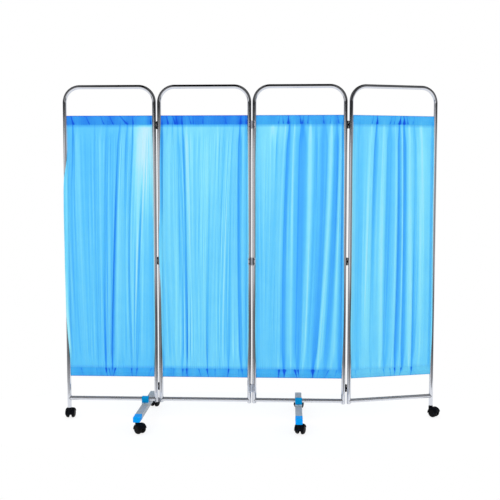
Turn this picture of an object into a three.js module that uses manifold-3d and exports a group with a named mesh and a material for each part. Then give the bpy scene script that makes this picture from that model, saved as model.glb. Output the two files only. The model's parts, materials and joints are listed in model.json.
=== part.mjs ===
// Folding privacy screen for a hospital ward: four curtained panels of chromed tube,
// hinged in a zigzag and rolling on twin-wheel casters.
// Millimetres, +Z up. +X runs along the three panels that stand in line, left to right as
// seen from the front, and the front looks along +Y.

import * as THREE from 'three';
import { mergeVertices } from 'three/addons/utils/BufferGeometryUtils.js';
import Module from 'manifold-3d';

const wasm = await Module();
wasm.setup();

// Whole screen
const screen_height = 1800;
const panel_width = 500;
const panel_gap = 5;
const last_panel_turn_degrees = 16;
const clearance = 0.3;
const cut_overrun = 5;

// Frame tube: one bent tube makes both legs and the top of a panel
const tube_diameter = 22;
const tube_wall = 1.2;
const tube_sides = 12;
const corner_radius = 82;
const corner_steps = 5;

// Bottom rail between the legs
const rail_height = 114;
const rail_diameter = 22;
const rail_wall = 1.2;
const inner_leg_below_rail = 14;

// Curtain rods, pushed into holes in the legs
const rod_diameter = 8;
const rod_sides = 8;
const rod_grip = 5;

// Curtain: a gathered sheet with a rod pocket along its top and its bottom
const curtain_below_top = 161;
const curtain_bottom_height = 236;
const curtain_side_gap = 1.5;
const cloth_thickness = 1.6;
const hem_height = 50;
const pocket_height = 24;
const pocket_wall = 1.9;
const ridge_forward = 7;
const fold_depth = 15;
const pocket_ripple = 1.6;
const edge_draw_in = 9;

// Where a fold's flank lies between its ridge and its valley, and how deep it is there
const flank_place_share = 0.58;
const flank_depth_share = 0.3;

// Heights of the rows between the two hems, and how much of the fold depth a row has
const middle_row_shares = [0.2, 0.5, 0.8];
const row_depth_shares = { edge: 0.12, hem: 0.55, middle: 1 };

// How far each side edge is drawn in, at the top, the middle and the bottom
const edge_shares = {
  panel_1: { left: [0.1, 0, 0.9], right: [0.3, 0.1, 0.1] },
  panel_2: { left: [0.2, 0.1, 1], right: [0.3, 0, 0.3] },
  panel_3: { left: [0.2, 0.3, 0.1], right: [0.1, 0.2, 1] },
  panel_4: { left: [0.3, 0.1, 0], right: [0.1, 0.2, 0.7] },
};

// The valleys between the folds of each curtain, from left to right:
// place along the top, place along the bottom, depth at the top, depth at the bottom
const fold_shares = {
  panel_1: [
    [0.07, 0.1, 0.9, 0.35],
    [0.19, 0.2, 0.35, 0.4],
    [0.32, 0.33, 0.6, 0.55],
    [0.47, 0.43, 0.4, 0.95],
    [0.62, 0.5, 0.75, 1],
    [0.71, 0.61, 0.65, 0.5],
    [0.79, 0.76, 0.95, 0.65],
    [0.92, 0.9, 0.35, 0.45],
  ],
  panel_2: [
    [0.06, 0.06, 0.6, 0.4],
    [0.16, 0.19, 0.7, 0.75],
    [0.25, 0.28, 0.95, 0.7],
    [0.36, 0.42, 0.5, 0.45],
    [0.52, 0.51, 0.35, 0.9],
    [0.68, 0.62, 0.5, 0.45],
    [0.82, 0.76, 0.45, 0.7],
    [0.94, 0.94, 0.85, 0.8],
  ],
  panel_3: [
    [0.1, 0.08, 0.35, 0.3],
    [0.24, 0.17, 0.5, 0.35],
    [0.38, 0.29, 0.95, 0.95],
    [0.54, 0.47, 0.9, 0.8],
    [0.67, 0.57, 0.45, 0.5],
    [0.8, 0.67, 0.75, 0.95],
    [0.9, 0.83, 0.6, 0.55],
    [0.97, 0.96, 0.8, 0.8],
  ],
  panel_4: [
    [0.08, 0.08, 0.45, 0.4],
    [0.19, 0.16, 0.35, 0.4],
    [0.3, 0.27, 0.95, 0.5],
    [0.46, 0.41, 0.65, 0.8],
    [0.57, 0.53, 1, 1],
    [0.65, 0.62, 0.9, 0.95],
    [0.77, 0.75, 0.55, 0.85],
    [0.9, 0.89, 0.45, 0.5],
  ],
};

// Butt hinges: the leaves lie on the tubes and the knuckles stand proud of them
const hinge_length = 40;
const top_hinge_below_top = 211;
const middle_hinge_below_top = 934;
const bottom_hinge_height = 181;
const hinge_axis_offset = 14;
const leaf_thickness = 1.5;
const leaf_width = 18;
const knuckle_diameter = 8;
const knuckle_sides = 8;
const hinge_pin_diameter = 3.6;
const hinge_pin_sides = 6;

// Casters: a hooded body between two wheels on one axle, trailing behind a vertical stem
const wheel_diameter = 50;
const wheel_width = 15.5;
const wheel_sides = 16;
const tread_round = 2.2;
const axle_diameter = 8;
const web_thickness = 15;
const web_gap = 1.5;
const wheel_clearance = 2.2;
const hood_thickness = 2.8;
const hood_rear_degrees = 14;
const hood_steps = 9;
const axle_boss_diameter = 18;
const caster_trail = 20;
const caster_height = 58;
const stem_boss_diameter = 24;
const stem_boss_bottom = 34;
const stem_diameter = 11;
const stem_length = 26;
const swivel_gap = 0.5;

// Bushes that hold the casters in the two outer legs
const socket_length = 30;
const socket_flange = 3;

// Feet: a box tube across the screen, a cap over its front end and a clamp on the rail
const foot_length = 560;
const foot_width = 36;
const foot_height = 28;
const foot_wall = 1.5;
const foot_rear_wall = 2;
const caster_inset = 25;
const cap_length = 66;
const cap_wall = 1.6;
const cap_end_wall = 3;
const base_plate_thickness = 6;
const base_plate_nose = 23;
const nose_steps = 8;
const saddle_width = 37;
const saddle_depth = 30;
const saddle_bevel = 1.5;
const saddle_arc_steps = 6;
const foot_1_from_leg = 60;

// Trailing directions of the casters at rest, in degrees from +X of their own panel
const trail_degrees = {
  leg_1: 90,
  leg_4: -56,
  foot_1_front: -40,
  foot_1_rear: 70,
  foot_2_front: 70,
  foot_2_rear: 75,
};

// Sizes that follow from those above
const tube_radius = tube_diameter / 2;
const tube_inner_radius = tube_radius - tube_wall;
const tube_flat = tube_radius * Math.cos(Math.PI / tube_sides);
const half_spacing = (panel_width - tube_diameter) / 2;
const panel_pitch = panel_width + panel_gap;
const hinge_from_centre = panel_pitch / 2;
const top_tube_height = screen_height - tube_radius;
const curtain_top_height = screen_height - curtain_below_top;
const caster_spacing = foot_length - 2 * caster_inset;
const rail_radius = rail_diameter / 2;
const rod_radius = rod_diameter / 2;
const wheel_radius = wheel_diameter / 2;
const wheel_inner_face = web_thickness / 2 + web_gap;
const caster_half_width = wheel_inner_face + wheel_width;
const wheel_space_radius = wheel_radius + wheel_clearance;
const hood_radius = wheel_space_radius + hood_thickness;
const cap_bottom = caster_height + swivel_gap;
const foot_bottom = cap_bottom + cap_wall + clearance;
const foot_top = foot_bottom + foot_height;
const base_plate_bottom = foot_top + clearance;
const saddle_bottom = base_plate_bottom + base_plate_thickness + clearance;
const socket_flange_top = caster_height + swivel_gap + socket_flange;
const outer_leg_bottom = socket_flange_top + clearance;
const inner_leg_bottom = rail_height - inner_leg_below_rail;
const upper_rod_height = curtain_top_height - pocket_height;
const lower_rod_height = curtain_bottom_height + pocket_height;

const hinge_heights = {
  top: screen_height - top_hinge_below_top,
  middle: screen_height - middle_hinge_below_top,
  bottom: bottom_hinge_height,
};

const finishes = {
  chrome: { color: 0xc4c6ca, roughness: 0.18, metalness: 1 },
  rod_steel: { color: 0xb4b6ba, roughness: 0.35, metalness: 1 },
  curtain: { color: 0x5cbcff, roughness: 0.8, metalness: 0 },
  hinge_steel: { color: 0x8d9096, roughness: 0.4, metalness: 1 },
  foot_metal: { color: 0xaab0bc, roughness: 0.45, metalness: 0.6 },
  blue_plastic: { color: 0x1496f5, roughness: 0.4, metalness: 0 },
  black_plastic: { color: 0x15161a, roughness: 0.5, metalness: 0 },
};

// Solids

function solid_of(geometry) {
  const bare = geometry.clone();
  bare.deleteAttribute('normal');
  bare.deleteAttribute('uv');
  const merged = mergeVertices(bare);
  const corners = merged.index.array;
  const triangles = [];
  for (let i = 0; i < corners.length; i += 3) {
    const [a, b, c] = [corners[i], corners[i + 1], corners[i + 2]];
    if (a !== b && b !== c && c !== a) triangles.push(a, b, c);
  }
  return new wasm.Manifold(new wasm.Mesh({
    numProp: 3,
    vertProperties: new Float32Array(merged.attributes.position.array),
    triVerts: new Uint32Array(triangles),
  }));
}

function geometry_of(solid) {
  const mesh = solid.getMesh();
  const geometry = new THREE.BufferGeometry();
  const positions = new Float32Array(mesh.triVerts.length * 3);
  mesh.triVerts.forEach((vertex, corner) => {
    for (let axis = 0; axis < 3; axis += 1) {
      positions[corner * 3 + axis] = mesh.vertProperties[vertex * mesh.numProp + axis];
    }
  });
  geometry.setAttribute('position', new THREE.BufferAttribute(positions, 3));
  geometry.computeVertexNormals();
  return geometry;
}

function joined(solids) {
  return solids.reduce((whole, solid) => whole.add(solid));
}

// A regular outline with flat sides facing along both of its axes
function round_shape(radius, sides) {
  const points = [];
  for (let k = 0; k < sides; k += 1) {
    const angle = ((k + 0.5) * 2 * Math.PI) / sides;
    points.push(new THREE.Vector2(radius * Math.cos(angle), radius * Math.sin(angle)));
  }
  return new THREE.Shape(points);
}

// Corner radius of a regular outline whose flat sides stand at a given distance
function corner_radius_for(flat, sides) {
  return flat / Math.cos(Math.PI / sides);
}

function extruded(shape, depth) {
  return new THREE.ExtrudeGeometry(shape, { depth, bevelEnabled: false });
}

function upright(shape, bottom, top) {
  return solid_of(extruded(shape, top - bottom).translate(0, 0, bottom));
}

// A length along X, centred on x = 0, with the outline's second axis along Z
function lengthwise(shape, length) {
  const geometry = extruded(shape, length).translate(0, 0, -length / 2);
  return solid_of(geometry.rotateZ(Math.PI / 2).rotateY(Math.PI / 2));
}

function box(low, high) {
  const size = new THREE.Vector3().subVectors(high, low);
  const middle = new THREE.Vector3().addVectors(low, high).multiplyScalar(0.5);
  const geometry = new THREE.BoxGeometry(size.x, size.y, size.z);
  return solid_of(geometry.translate(middle.x, middle.y, middle.z));
}

// Panel frame

// A centre line given by its stations, each with its own direction
class StationLine extends THREE.Curve {
  constructor(stations) {
    super();
    this.stations = stations;
  }

  station(share) {
    return this.stations[Math.round(share * (this.stations.length - 1))];
  }

  getPointAt(share, target = new THREE.Vector3()) {
    return target.copy(this.station(share).point);
  }

  getTangentAt(share, target = new THREE.Vector3()) {
    return target.copy(this.station(share).direction);
  }
}

function frame_line(left_bottom, right_bottom) {
  const stations = [{
    point: new THREE.Vector3(-half_spacing, 0, left_bottom),
    direction: new THREE.Vector3(0, 0, 1),
  }];
  const corner_height = top_tube_height - corner_radius;
  for (const side of [-1, 1]) {
    const centre_x = side * (half_spacing - corner_radius);
    for (let k = 0; k <= corner_steps; k += 1) {
      const turn = ((k / corner_steps) * Math.PI) / 2;
      const angle = side < 0 ? Math.PI - turn : Math.PI / 2 - turn;
      const out = new THREE.Vector3(Math.cos(angle), 0, Math.sin(angle));
      const point = out.clone().multiplyScalar(corner_radius);
      point.add(new THREE.Vector3(centre_x, 0, corner_height));
      stations.push({ point, direction: new THREE.Vector3(out.z, 0, -out.x) });
    }
  }
  stations.push({
    point: new THREE.Vector3(half_spacing, 0, right_bottom),
    direction: new THREE.Vector3(0, 0, -1),
  });
  return new StationLine(stations);
}

function frame_geometry(left_bottom, right_bottom) {
  const section = round_shape(tube_radius, tube_sides);
  section.holes.push(round_shape(tube_inner_radius, tube_sides));
  const line = frame_line(left_bottom, right_bottom);
  const steps = line.stations.length - 1;
  const bent = solid_of(new THREE.ExtrudeGeometry(section, { steps, extrudePath: line }));
  const hole_radius = rod_radius + corner_radius_for(clearance, rod_sides);
  const rod_hole = lengthwise(round_shape(hole_radius, rod_sides), 2 * half_spacing);
  const upper = rod_hole.translate([0, 0, upper_rod_height]);
  const lower = rod_hole.translate([0, 0, lower_rod_height]);
  return geometry_of(bent.subtract(upper).subtract(lower));
}

// The rail's ends are shaped to the legs that they are welded to
function rail_geometry() {
  const section = round_shape(rail_radius, tube_sides);
  section.holes.push(round_shape(rail_radius - rail_wall, tube_sides));
  const leg_radius = tube_radius + corner_radius_for(clearance, tube_sides);
  const reach = rail_radius + cut_overrun;
  const leg = upright(round_shape(leg_radius, tube_sides), -reach, reach);
  const rail = lengthwise(section, 2 * half_spacing);
  return geometry_of(rail
    .subtract(leg.translate([-half_spacing, 0, 0]))
    .subtract(leg.translate([half_spacing, 0, 0])));
}

function rod_geometry() {
  const length = 2 * (half_spacing - tube_radius + rod_grip);
  return geometry_of(lengthwise(round_shape(rod_radius, rod_sides), length));
}

// Curtain

function mixed(from, to, share) {
  return from + (to - from) * share;
}

// Rows from the top edge to the bottom edge: height, half thickness and fold depth
function curtain_rows() {
  const half_cloth = cloth_thickness / 2;
  const pocket_half = rod_radius + clearance + pocket_wall;
  const hem_rows = [
    { drop: 0, half: cloth_thickness, depth: row_depth_shares.edge, pocket: 0 },
    { drop: pocket_height, half: pocket_half, depth: 0, pocket: 1 },
    { drop: mixed(pocket_height, hem_height, 0.5), half: cloth_thickness,
      depth: row_depth_shares.edge, pocket: 0 },
    { drop: hem_height, half: half_cloth, depth: row_depth_shares.hem, pocket: 0 },
  ];
  const upper = hem_rows.map((row) => ({ ...row, z: curtain_top_height - row.drop }));
  const lower = hem_rows.map((row) => ({ ...row, z: curtain_bottom_height + row.drop }));
  const middle = middle_row_shares.map((share) => ({
    half: half_cloth,
    depth: row_depth_shares.middle,
    pocket: 0,
    z: mixed(curtain_top_height - hem_height, curtain_bottom_height + hem_height, share),
  }));
  return [...upper, ...middle, ...lower.reverse()];
}

// Columns from the left edge to the right one: ridges, flanks and valleys in turn
function curtain_columns(folds) {
  const ridge = (top, bottom) => ({ top, bottom, deep: [0, 0] });
  const valleys = folds.map(([top, bottom, ...deep]) => ({ top, bottom, deep }));
  const between = (a, b) => ridge((a.top + b.top) / 2, (a.bottom + b.bottom) / 2);
  const line = [ridge(0, 0)];
  valleys.forEach((valley, k) => {
    line.push(valley);
    line.push(k + 1 < valleys.length ? between(valley, valleys[k + 1]) : ridge(1, 1));
  });
  const columns = [line[0]];
  for (let k = 1; k < line.length; k += 1) {
    const [a, b] = [line[k - 1], line[k]];
    const falling = k % 2 === 1;
    const place = falling ? flank_place_share : 1 - flank_place_share;
    const deep = (falling ? b : a).deep.map((depth) => depth * flank_depth_share);
    columns.push({ top: mixed(a.top, b.top, place), bottom: mixed(a.bottom, b.bottom, place), deep });
    columns.push(b);
  }
  return columns;
}

// A value given at the top, the middle and the bottom, at a share of the way down
function along_edge(three, down) {
  const late = down > 0.5;
  return late ? mixed(three[1], three[2], 2 * down - 1) : mixed(three[0], three[1], 2 * down);
}

// One loop of points per column, front face downwards and back face upwards, joined from
// column to column, with two straight bores for the rods between the end faces
function curtain_geometry(name) {
  const rows = curtain_rows();
  const columns = curtain_columns(fold_shares[name]);
  const half_width = half_spacing - tube_radius - curtain_side_gap;
  const edges = edge_shares[name];
  const positions = [];
  const triangles = [];
  const loop_size = 2 * rows.length;
  for (const column of columns) {
    const front = [];
    const back = [];
    for (const row of rows) {
      const down = (curtain_top_height - row.z) / (curtain_top_height - curtain_bottom_height);
      const left = -half_width + edge_draw_in * along_edge(edges.left, down);
      const right = half_width - edge_draw_in * along_edge(edges.right, down);
      const x = mixed(left, right, mixed(column.top, column.bottom, down));
      const valley = mixed(column.deep[0], column.deep[1], down);
      const y = row.depth * (fold_depth * valley - ridge_forward);
      const ripple = row.pocket * pocket_ripple;
      front.push([x, y - row.half - ripple * (1 - valley), row.z]);
      back.push([x, y + row.half + ripple * valley, row.z]);
    }
    positions.push(...front, ...back.reverse());
  }
  for (let c = 0; c + 1 < columns.length; c += 1) {
    for (let k = 0; k < loop_size; k += 1) {
      const a = c * loop_size + k;
      const b = c * loop_size + ((k + 1) % loop_size);
      triangles.push(a, b, b + loop_size, a, b + loop_size, a + loop_size);
    }
  }
  const outer_size = positions.length;
  const bore_radius = rod_radius + corner_radius_for(clearance, rod_sides);
  const bore_points = round_shape(bore_radius, rod_sides).getPoints();
  const pocket_rows = rows.map((row, k) => (row.pocket ? k : -1)).filter((k) => k >= 0);
  const bores = pocket_rows.map((k) => [0, outer_size - loop_size].map((start) => {
    const first = positions.length;
    const x = positions[start + k][0];
    for (const point of bore_points) positions.push([x, point.x, rows[k].z + point.y]);
    return bore_points.map((_, i) => first + i);
  }));
  for (const [left, right] of bores) {
    for (let i = 0; i < rod_sides; i += 1) {
      const j = (i + 1) % rod_sides;
      triangles.push(left[i], right[j], left[j], left[i], right[i], right[j]);
    }
  }
  [0, outer_size - loop_size].forEach((start, side) => {
    const loop = Array.from({ length: loop_size }, (_, k) => start + k);
    const holes = bores.map((pair) => pair[side]);
    const flat = (ids) => ids.map((id) => new THREE.Vector2(positions[id][1], positions[id][2]));
    const ids = [loop, ...holes].flat();
    const faces = THREE.ShapeUtils.triangulateShape(flat(loop), holes.map(flat));
    for (const [a, b, c] of faces) {
      const face = [ids[a], ids[b], ids[c]];
      const [p, q, r] = flat(face);
      const turns_left = (q.x - p.x) * (r.y - p.y) - (q.y - p.y) * (r.x - p.x) > 0;
      const faces_right = side === 1;
      triangles.push(...(turns_left === faces_right ? face : face.reverse()));
    }
  });
  const geometry = new THREE.BufferGeometry();
  geometry.setAttribute('position', new THREE.Float32BufferAttribute(positions.flat(), 3));
  geometry.setIndex(triangles);
  return geometry_of(solid_of(geometry));
}

// Hinges

// Leaf on a tube at +X of the pin, behind the tube: the pin stands at the origin.
// The pinned leaf has the outer knuckles and the pin, the other one the middle knuckle.
function leaf_geometry(pinned) {
  const knuckle_radius = knuckle_diameter / 2;
  const third = hinge_length / 3;
  const half = hinge_length / 2;
  const face = tube_flat + clearance - hinge_axis_offset;
  const plate_start = knuckle_radius + clearance;
  const plate = box(
    new THREE.Vector3(plate_start, face, -half),
    new THREE.Vector3(leaf_width, face + leaf_thickness, half),
  );
  const spans = pinned
    ? [[-half, -half + third], [half - third, half]]
    : [[-third / 2 + clearance, third / 2 - clearance]];
  const outline = round_shape(knuckle_radius, knuckle_sides);
  const knuckles = spans.map(([bottom, top]) => upright(outline, bottom, top));
  const tabs = spans.map(([bottom, top]) => box(
    new THREE.Vector3(0, face, bottom),
    new THREE.Vector3(plate_start + clearance, face + leaf_thickness, top),
  ));
  const leaf = joined([plate, ...knuckles, ...tabs]);
  const pin_radius = hinge_pin_diameter / 2;
  if (pinned) {
    return geometry_of(leaf.add(upright(round_shape(pin_radius, hinge_pin_sides), -half, half)));
  }
  const bore_flat = pin_radius + clearance;
  const bore_radius = corner_radius_for(bore_flat, hinge_pin_sides);
  const bore = upright(round_shape(bore_radius, hinge_pin_sides), -half, half);
  return geometry_of(leaf.subtract(bore));
}

// Casters

// Side outline of the body, in the trailing direction and height: the hood's arc over the
// wheel, the stem boss at the front and the axle boss below
function caster_outline() {
  const points = [];
  const rear = (hood_rear_degrees * Math.PI) / 180;
  const axle_boss = axle_boss_diameter / 2;
  const boss = stem_boss_diameter / 2;
  for (let k = 0; k <= hood_steps; k += 1) {
    const angle = mixed(rear, Math.PI, k / hood_steps);
    points.push(new THREE.Vector2(
      caster_trail + hood_radius * Math.cos(angle),
      wheel_radius + hood_radius * Math.sin(angle),
    ));
  }
  points.push(new THREE.Vector2(caster_trail - boss, wheel_radius - axle_boss));
  points.push(new THREE.Vector2(caster_trail + axle_boss / 2, wheel_radius - axle_boss));
  points.push(new THREE.Vector2(caster_trail + axle_boss, wheel_radius - axle_boss / 2));
  return new THREE.Shape(points);
}

// A length along Y, centred on y = 0, of an outline drawn in X and Z
function crosswise(shape, length) {
  const geometry = extruded(shape, length).translate(0, 0, -length / 2);
  return solid_of(geometry.rotateX(Math.PI / 2));
}

function caster_body_geometry() {
  const boss_radius = stem_boss_diameter / 2;
  const stem_top = caster_height + stem_length;
  const body = joined([
    crosswise(caster_outline(), 2 * caster_half_width),
    upright(round_shape(boss_radius, tube_sides), stem_boss_bottom, caster_height),
    upright(round_shape(stem_diameter / 2, tube_sides), caster_height - cut_overrun, stem_top),
  ]);
  const space_depth = caster_half_width - web_thickness / 2 + cut_overrun;
  const space_middle = web_thickness / 2 + space_depth / 2;
  const space = crosswise(round_shape(wheel_space_radius, 2 * tube_sides), space_depth);
  const axle_flat = axle_diameter / 2 + clearance;
  const axle_hole = crosswise(
    round_shape(corner_radius_for(axle_flat, knuckle_sides), knuckle_sides),
    web_thickness + 2 * cut_overrun,
  );
  return geometry_of(body
    .subtract(space.translate([caster_trail, space_middle, wheel_radius]))
    .subtract(space.translate([caster_trail, -space_middle, wheel_radius]))
    .subtract(axle_hole.translate([caster_trail, 0, wheel_radius])));
}

// Both wheels and their axle, turned about Y, with a flat side of the tread downwards
function wheels_geometry() {
  const rim = corner_radius_for(wheel_radius, wheel_sides);
  const axle = axle_diameter / 2;
  const half = [
    [0, caster_half_width],
    [rim - tread_round, caster_half_width],
    [rim, caster_half_width - tread_round],
    [rim, wheel_inner_face + tread_round],
    [rim - tread_round, wheel_inner_face],
    [axle, wheel_inner_face],
  ];
  const other_half = half.map(([radius, y]) => [radius, -y]).reverse();
  const profile = [...half, ...other_half].reverse().map(([r, y]) => new THREE.Vector2(r, y));
  const turned = new THREE.LatheGeometry(profile, wheel_sides, Math.PI / wheel_sides);
  return geometry_of(solid_of(turned));
}

function socket_geometry() {
  const body_radius = tube_inner_radius - corner_radius_for(clearance, tube_sides);
  const bore_flat = stem_diameter / 2 + clearance;
  const bore_shape = round_shape(corner_radius_for(bore_flat, tube_sides), tube_sides);
  const flange_bottom = socket_flange_top - socket_flange;
  const top = socket_flange_top + socket_length;
  const flange = upright(round_shape(tube_radius, tube_sides), flange_bottom, socket_flange_top);
  const body = upright(round_shape(body_radius, tube_sides), flange_bottom, top);
  const bore = upright(bore_shape, flange_bottom - cut_overrun, top + cut_overrun);
  return geometry_of(flange.add(body).subtract(bore));
}

// Feet

function stem_hole(y, bottom, top) {
  const hole_flat = stem_diameter / 2 + clearance;
  const outline = round_shape(corner_radius_for(hole_flat, tube_sides), tube_sides);
  return upright(outline, bottom, top).translate([0, y, 0]);
}

function foot_bar_geometry() {
  const half_width = foot_width / 2;
  const half_length = foot_length / 2;
  const bar = box(
    new THREE.Vector3(-half_width, -half_length, foot_bottom),
    new THREE.Vector3(half_width, half_length, foot_top),
  );
  const hollow = box(
    new THREE.Vector3(-half_width + foot_wall, -half_length - cut_overrun, foot_bottom + foot_wall),
    new THREE.Vector3(half_width - foot_wall, half_length - foot_rear_wall, foot_top - foot_wall),
  );
  const [low, high] = [foot_bottom - cut_overrun, foot_bottom + foot_wall + cut_overrun];
  return geometry_of(bar
    .subtract(hollow)
    .subtract(stem_hole(-caster_spacing / 2, low, high))
    .subtract(stem_hole(caster_spacing / 2, low, high)));
}

function foot_cap_geometry() {
  const inner_half = foot_width / 2 + clearance;
  const outer_half = inner_half + cap_wall;
  const bar_end = -foot_length / 2;
  const end = bar_end - clearance;
  const cap = box(
    new THREE.Vector3(-outer_half, end - cap_end_wall, cap_bottom),
    new THREE.Vector3(outer_half, end - cap_end_wall + cap_length, foot_top + clearance + cap_wall),
  );
  const hollow = box(
    new THREE.Vector3(-inner_half, end, foot_bottom - clearance),
    new THREE.Vector3(inner_half, end + cap_length, foot_top + clearance),
  );
  const hole = stem_hole(-caster_spacing / 2, cap_bottom - cut_overrun, foot_bottom);
  return geometry_of(cap.subtract(hollow).subtract(hole));
}

// Plate between the bar and the saddle, with a round nose towards the front
function base_plate_geometry() {
  const radius = foot_width / 2;
  const back = saddle_depth / 2;
  const nose_centre = radius - back - base_plate_nose;
  const points = [new THREE.Vector2(radius, back), new THREE.Vector2(-radius, back)];
  for (let k = 0; k <= nose_steps; k += 1) {
    const angle = Math.PI * (1 + k / nose_steps);
    const point = new THREE.Vector2(radius * Math.cos(angle), radius * Math.sin(angle));
    points.push(point.add(new THREE.Vector2(0, nose_centre)));
  }
  const top = base_plate_bottom + base_plate_thickness;
  return geometry_of(upright(new THREE.Shape(points), base_plate_bottom, top));
}

// Clamp block round the rail: straight sides and a round top that follows the rail
function saddle_geometry() {
  const radius = saddle_depth / 2 - saddle_bevel;
  const foot = saddle_bottom + saddle_bevel - rail_height;
  const points = [new THREE.Vector2(-radius, foot), new THREE.Vector2(radius, foot)];
  for (let k = 0; k <= saddle_arc_steps; k += 1) {
    const angle = (Math.PI * k) / saddle_arc_steps;
    points.push(new THREE.Vector2(radius * Math.cos(angle), radius * Math.sin(angle)));
  }
  const depth = saddle_width - 2 * saddle_bevel;
  const block = new THREE.ExtrudeGeometry(new THREE.Shape(points), {
    depth,
    bevelThickness: saddle_bevel,
    bevelSize: saddle_bevel,
    bevelSegments: 1,
  });
  block.translate(0, 0, -depth / 2).rotateX(Math.PI / 2).rotateZ(Math.PI / 2);
  const bore_flat = rail_radius * Math.cos(Math.PI / tube_sides) + clearance;
  const bore_radius = corner_radius_for(bore_flat, tube_sides);
  const bore = lengthwise(round_shape(bore_radius, tube_sides), saddle_width + cut_overrun);
  return geometry_of(solid_of(block).subtract(bore));
}

// Assembly

const shared = {
  rail: rail_geometry(),
  rod: rod_geometry(),
  pinned_leaf: leaf_geometry(true),
  plain_leaf: leaf_geometry(false),
  caster_body: caster_body_geometry(),
  wheels: wheels_geometry(),
  socket: socket_geometry(),
  foot_bar: foot_bar_geometry(),
  foot_cap: foot_cap_geometry(),
  base_plate: base_plate_geometry(),
  saddle: saddle_geometry(),
};

function add_piece(group, name, geometry, finish, z = 0) {
  const mesh = new THREE.Mesh(geometry, new THREE.MeshStandardMaterial(finishes[finish]));
  mesh.name = name;
  mesh.position.z = z;
  group.add(mesh);
  return mesh;
}

function add_panel(parent, number, x) {
  const name = `panel_${number}`;
  const panel = new THREE.Group();
  panel.position.x = x;
  parent.add(panel);
  const left_bottom = number === 1 ? outer_leg_bottom : inner_leg_bottom;
  const right_bottom = number === 4 ? outer_leg_bottom : inner_leg_bottom;
  add_piece(panel, `${name}_frame`, frame_geometry(left_bottom, right_bottom), 'chrome');
  add_piece(panel, `${name}_rail`, shared.rail, 'chrome', rail_height);
  add_piece(panel, `${name}_upper_rod`, shared.rod, 'rod_steel', upper_rod_height);
  add_piece(panel, `${name}_lower_rod`, shared.rod, 'rod_steel', lower_rod_height);
  add_piece(panel, `${name}_curtain`, curtain_geometry(name), 'curtain');
  return panel;
}

function add_caster(parent, name, x, y) {
  const caster = new THREE.Group();
  caster.position.set(x, y, 0);
  caster.rotation.z = (trail_degrees[name] * Math.PI) / 180;
  parent.add(caster);
  add_piece(caster, `${name}_caster_body`, shared.caster_body, 'black_plastic');
  const wheels = add_piece(caster, `${name}_caster_wheels`, shared.wheels, 'black_plastic');
  wheels.position.set(caster_trail, 0, wheel_radius);
}

function add_foot(panel, number, x) {
  const name = `foot_${number}`;
  const foot = new THREE.Group();
  foot.position.x = x;
  panel.add(foot);
  add_piece(foot, `${name}_bar`, shared.foot_bar, 'foot_metal');
  add_piece(foot, `${name}_front_cap`, shared.foot_cap, 'blue_plastic');
  add_piece(foot, `${name}_base_plate`, shared.base_plate, 'foot_metal');
  add_piece(foot, `${name}_saddle`, shared.saddle, 'blue_plastic', rail_height);
  add_caster(foot, `${name}_front`, 0, -caster_spacing / 2);
  add_caster(foot, `${name}_rear`, 0, caster_spacing / 2);
}

function add_leg_caster(panel, number, x) {
  const socket = add_piece(panel, `leg_${number}_socket`, shared.socket, 'black_plastic');
  socket.position.x = x;
  add_caster(panel, `leg_${number}`, x, 0);
}

// The leaves of the hinges between two panels, on their backs or on their fronts.
// Half a turn about X, Y or Z brings the one leaf to the other tube or to the front.
function add_hinges(left_panel, right_panel, number, at_back) {
  const side = at_back ? 1 : -1;
  for (const [level, z] of Object.entries(hinge_heights)) {
    const name = `hinge_${number}_${number + 1}_${level}`;
    const left = add_piece(left_panel, `${name}_left_leaf`, shared.pinned_leaf, 'hinge_steel');
    left.position.set(hinge_from_centre, side * hinge_axis_offset, z);
    const right = add_piece(right_panel, `${name}_right_leaf`, shared.plain_leaf, 'hinge_steel');
    right.position.set(-hinge_from_centre, side * hinge_axis_offset, z);
    if (at_back) left.rotation.y = Math.PI;
    else left.rotation.z = Math.PI;
    if (!at_back) right.rotation.x = Math.PI;
  }
}

function build_screen() {
  const screen = new THREE.Group();
  const pivot = new THREE.Group();
  pivot.position.set(panel_pitch + hinge_from_centre, hinge_axis_offset, 0);
  pivot.rotation.z = (last_panel_turn_degrees * Math.PI) / 180;
  screen.add(pivot);
  const panels = [-panel_pitch, 0, panel_pitch].map((x, k) => add_panel(screen, k + 1, x));
  const last = add_panel(pivot, 4, hinge_from_centre);
  last.position.y = -hinge_axis_offset;
  panels.push(last);
  add_hinges(panels[0], panels[1], 1, true);
  add_hinges(panels[1], panels[2], 2, false);
  add_hinges(panels[2], panels[3], 3, true);
  add_foot(panels[0], 1, half_spacing - foot_1_from_leg);
  add_foot(panels[2], 2, 0);
  add_leg_caster(panels[0], 1, -half_spacing);
  add_leg_caster(panels[3], 4, half_spacing);
  return screen;
}

// The origin is the middle of the footprint of the whole screen, on the floor
const screen = build_screen();
screen.updateMatrixWorld(true);
const bounds = new THREE.Box3().setFromObject(screen, true);
const middle = bounds.getCenter(new THREE.Vector3());
screen.position.set(-middle.x, -middle.y, -bounds.min.z);

export default screen;
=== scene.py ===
"""Ward privacy screen on wheels.

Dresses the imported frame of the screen: chromed tubes, gathered curtains, hinges, cross feet and
twin-wheel casters. Lengths are in metres, +Z is up and the front of the screen faces -Y.
"""

import json
import math

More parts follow.
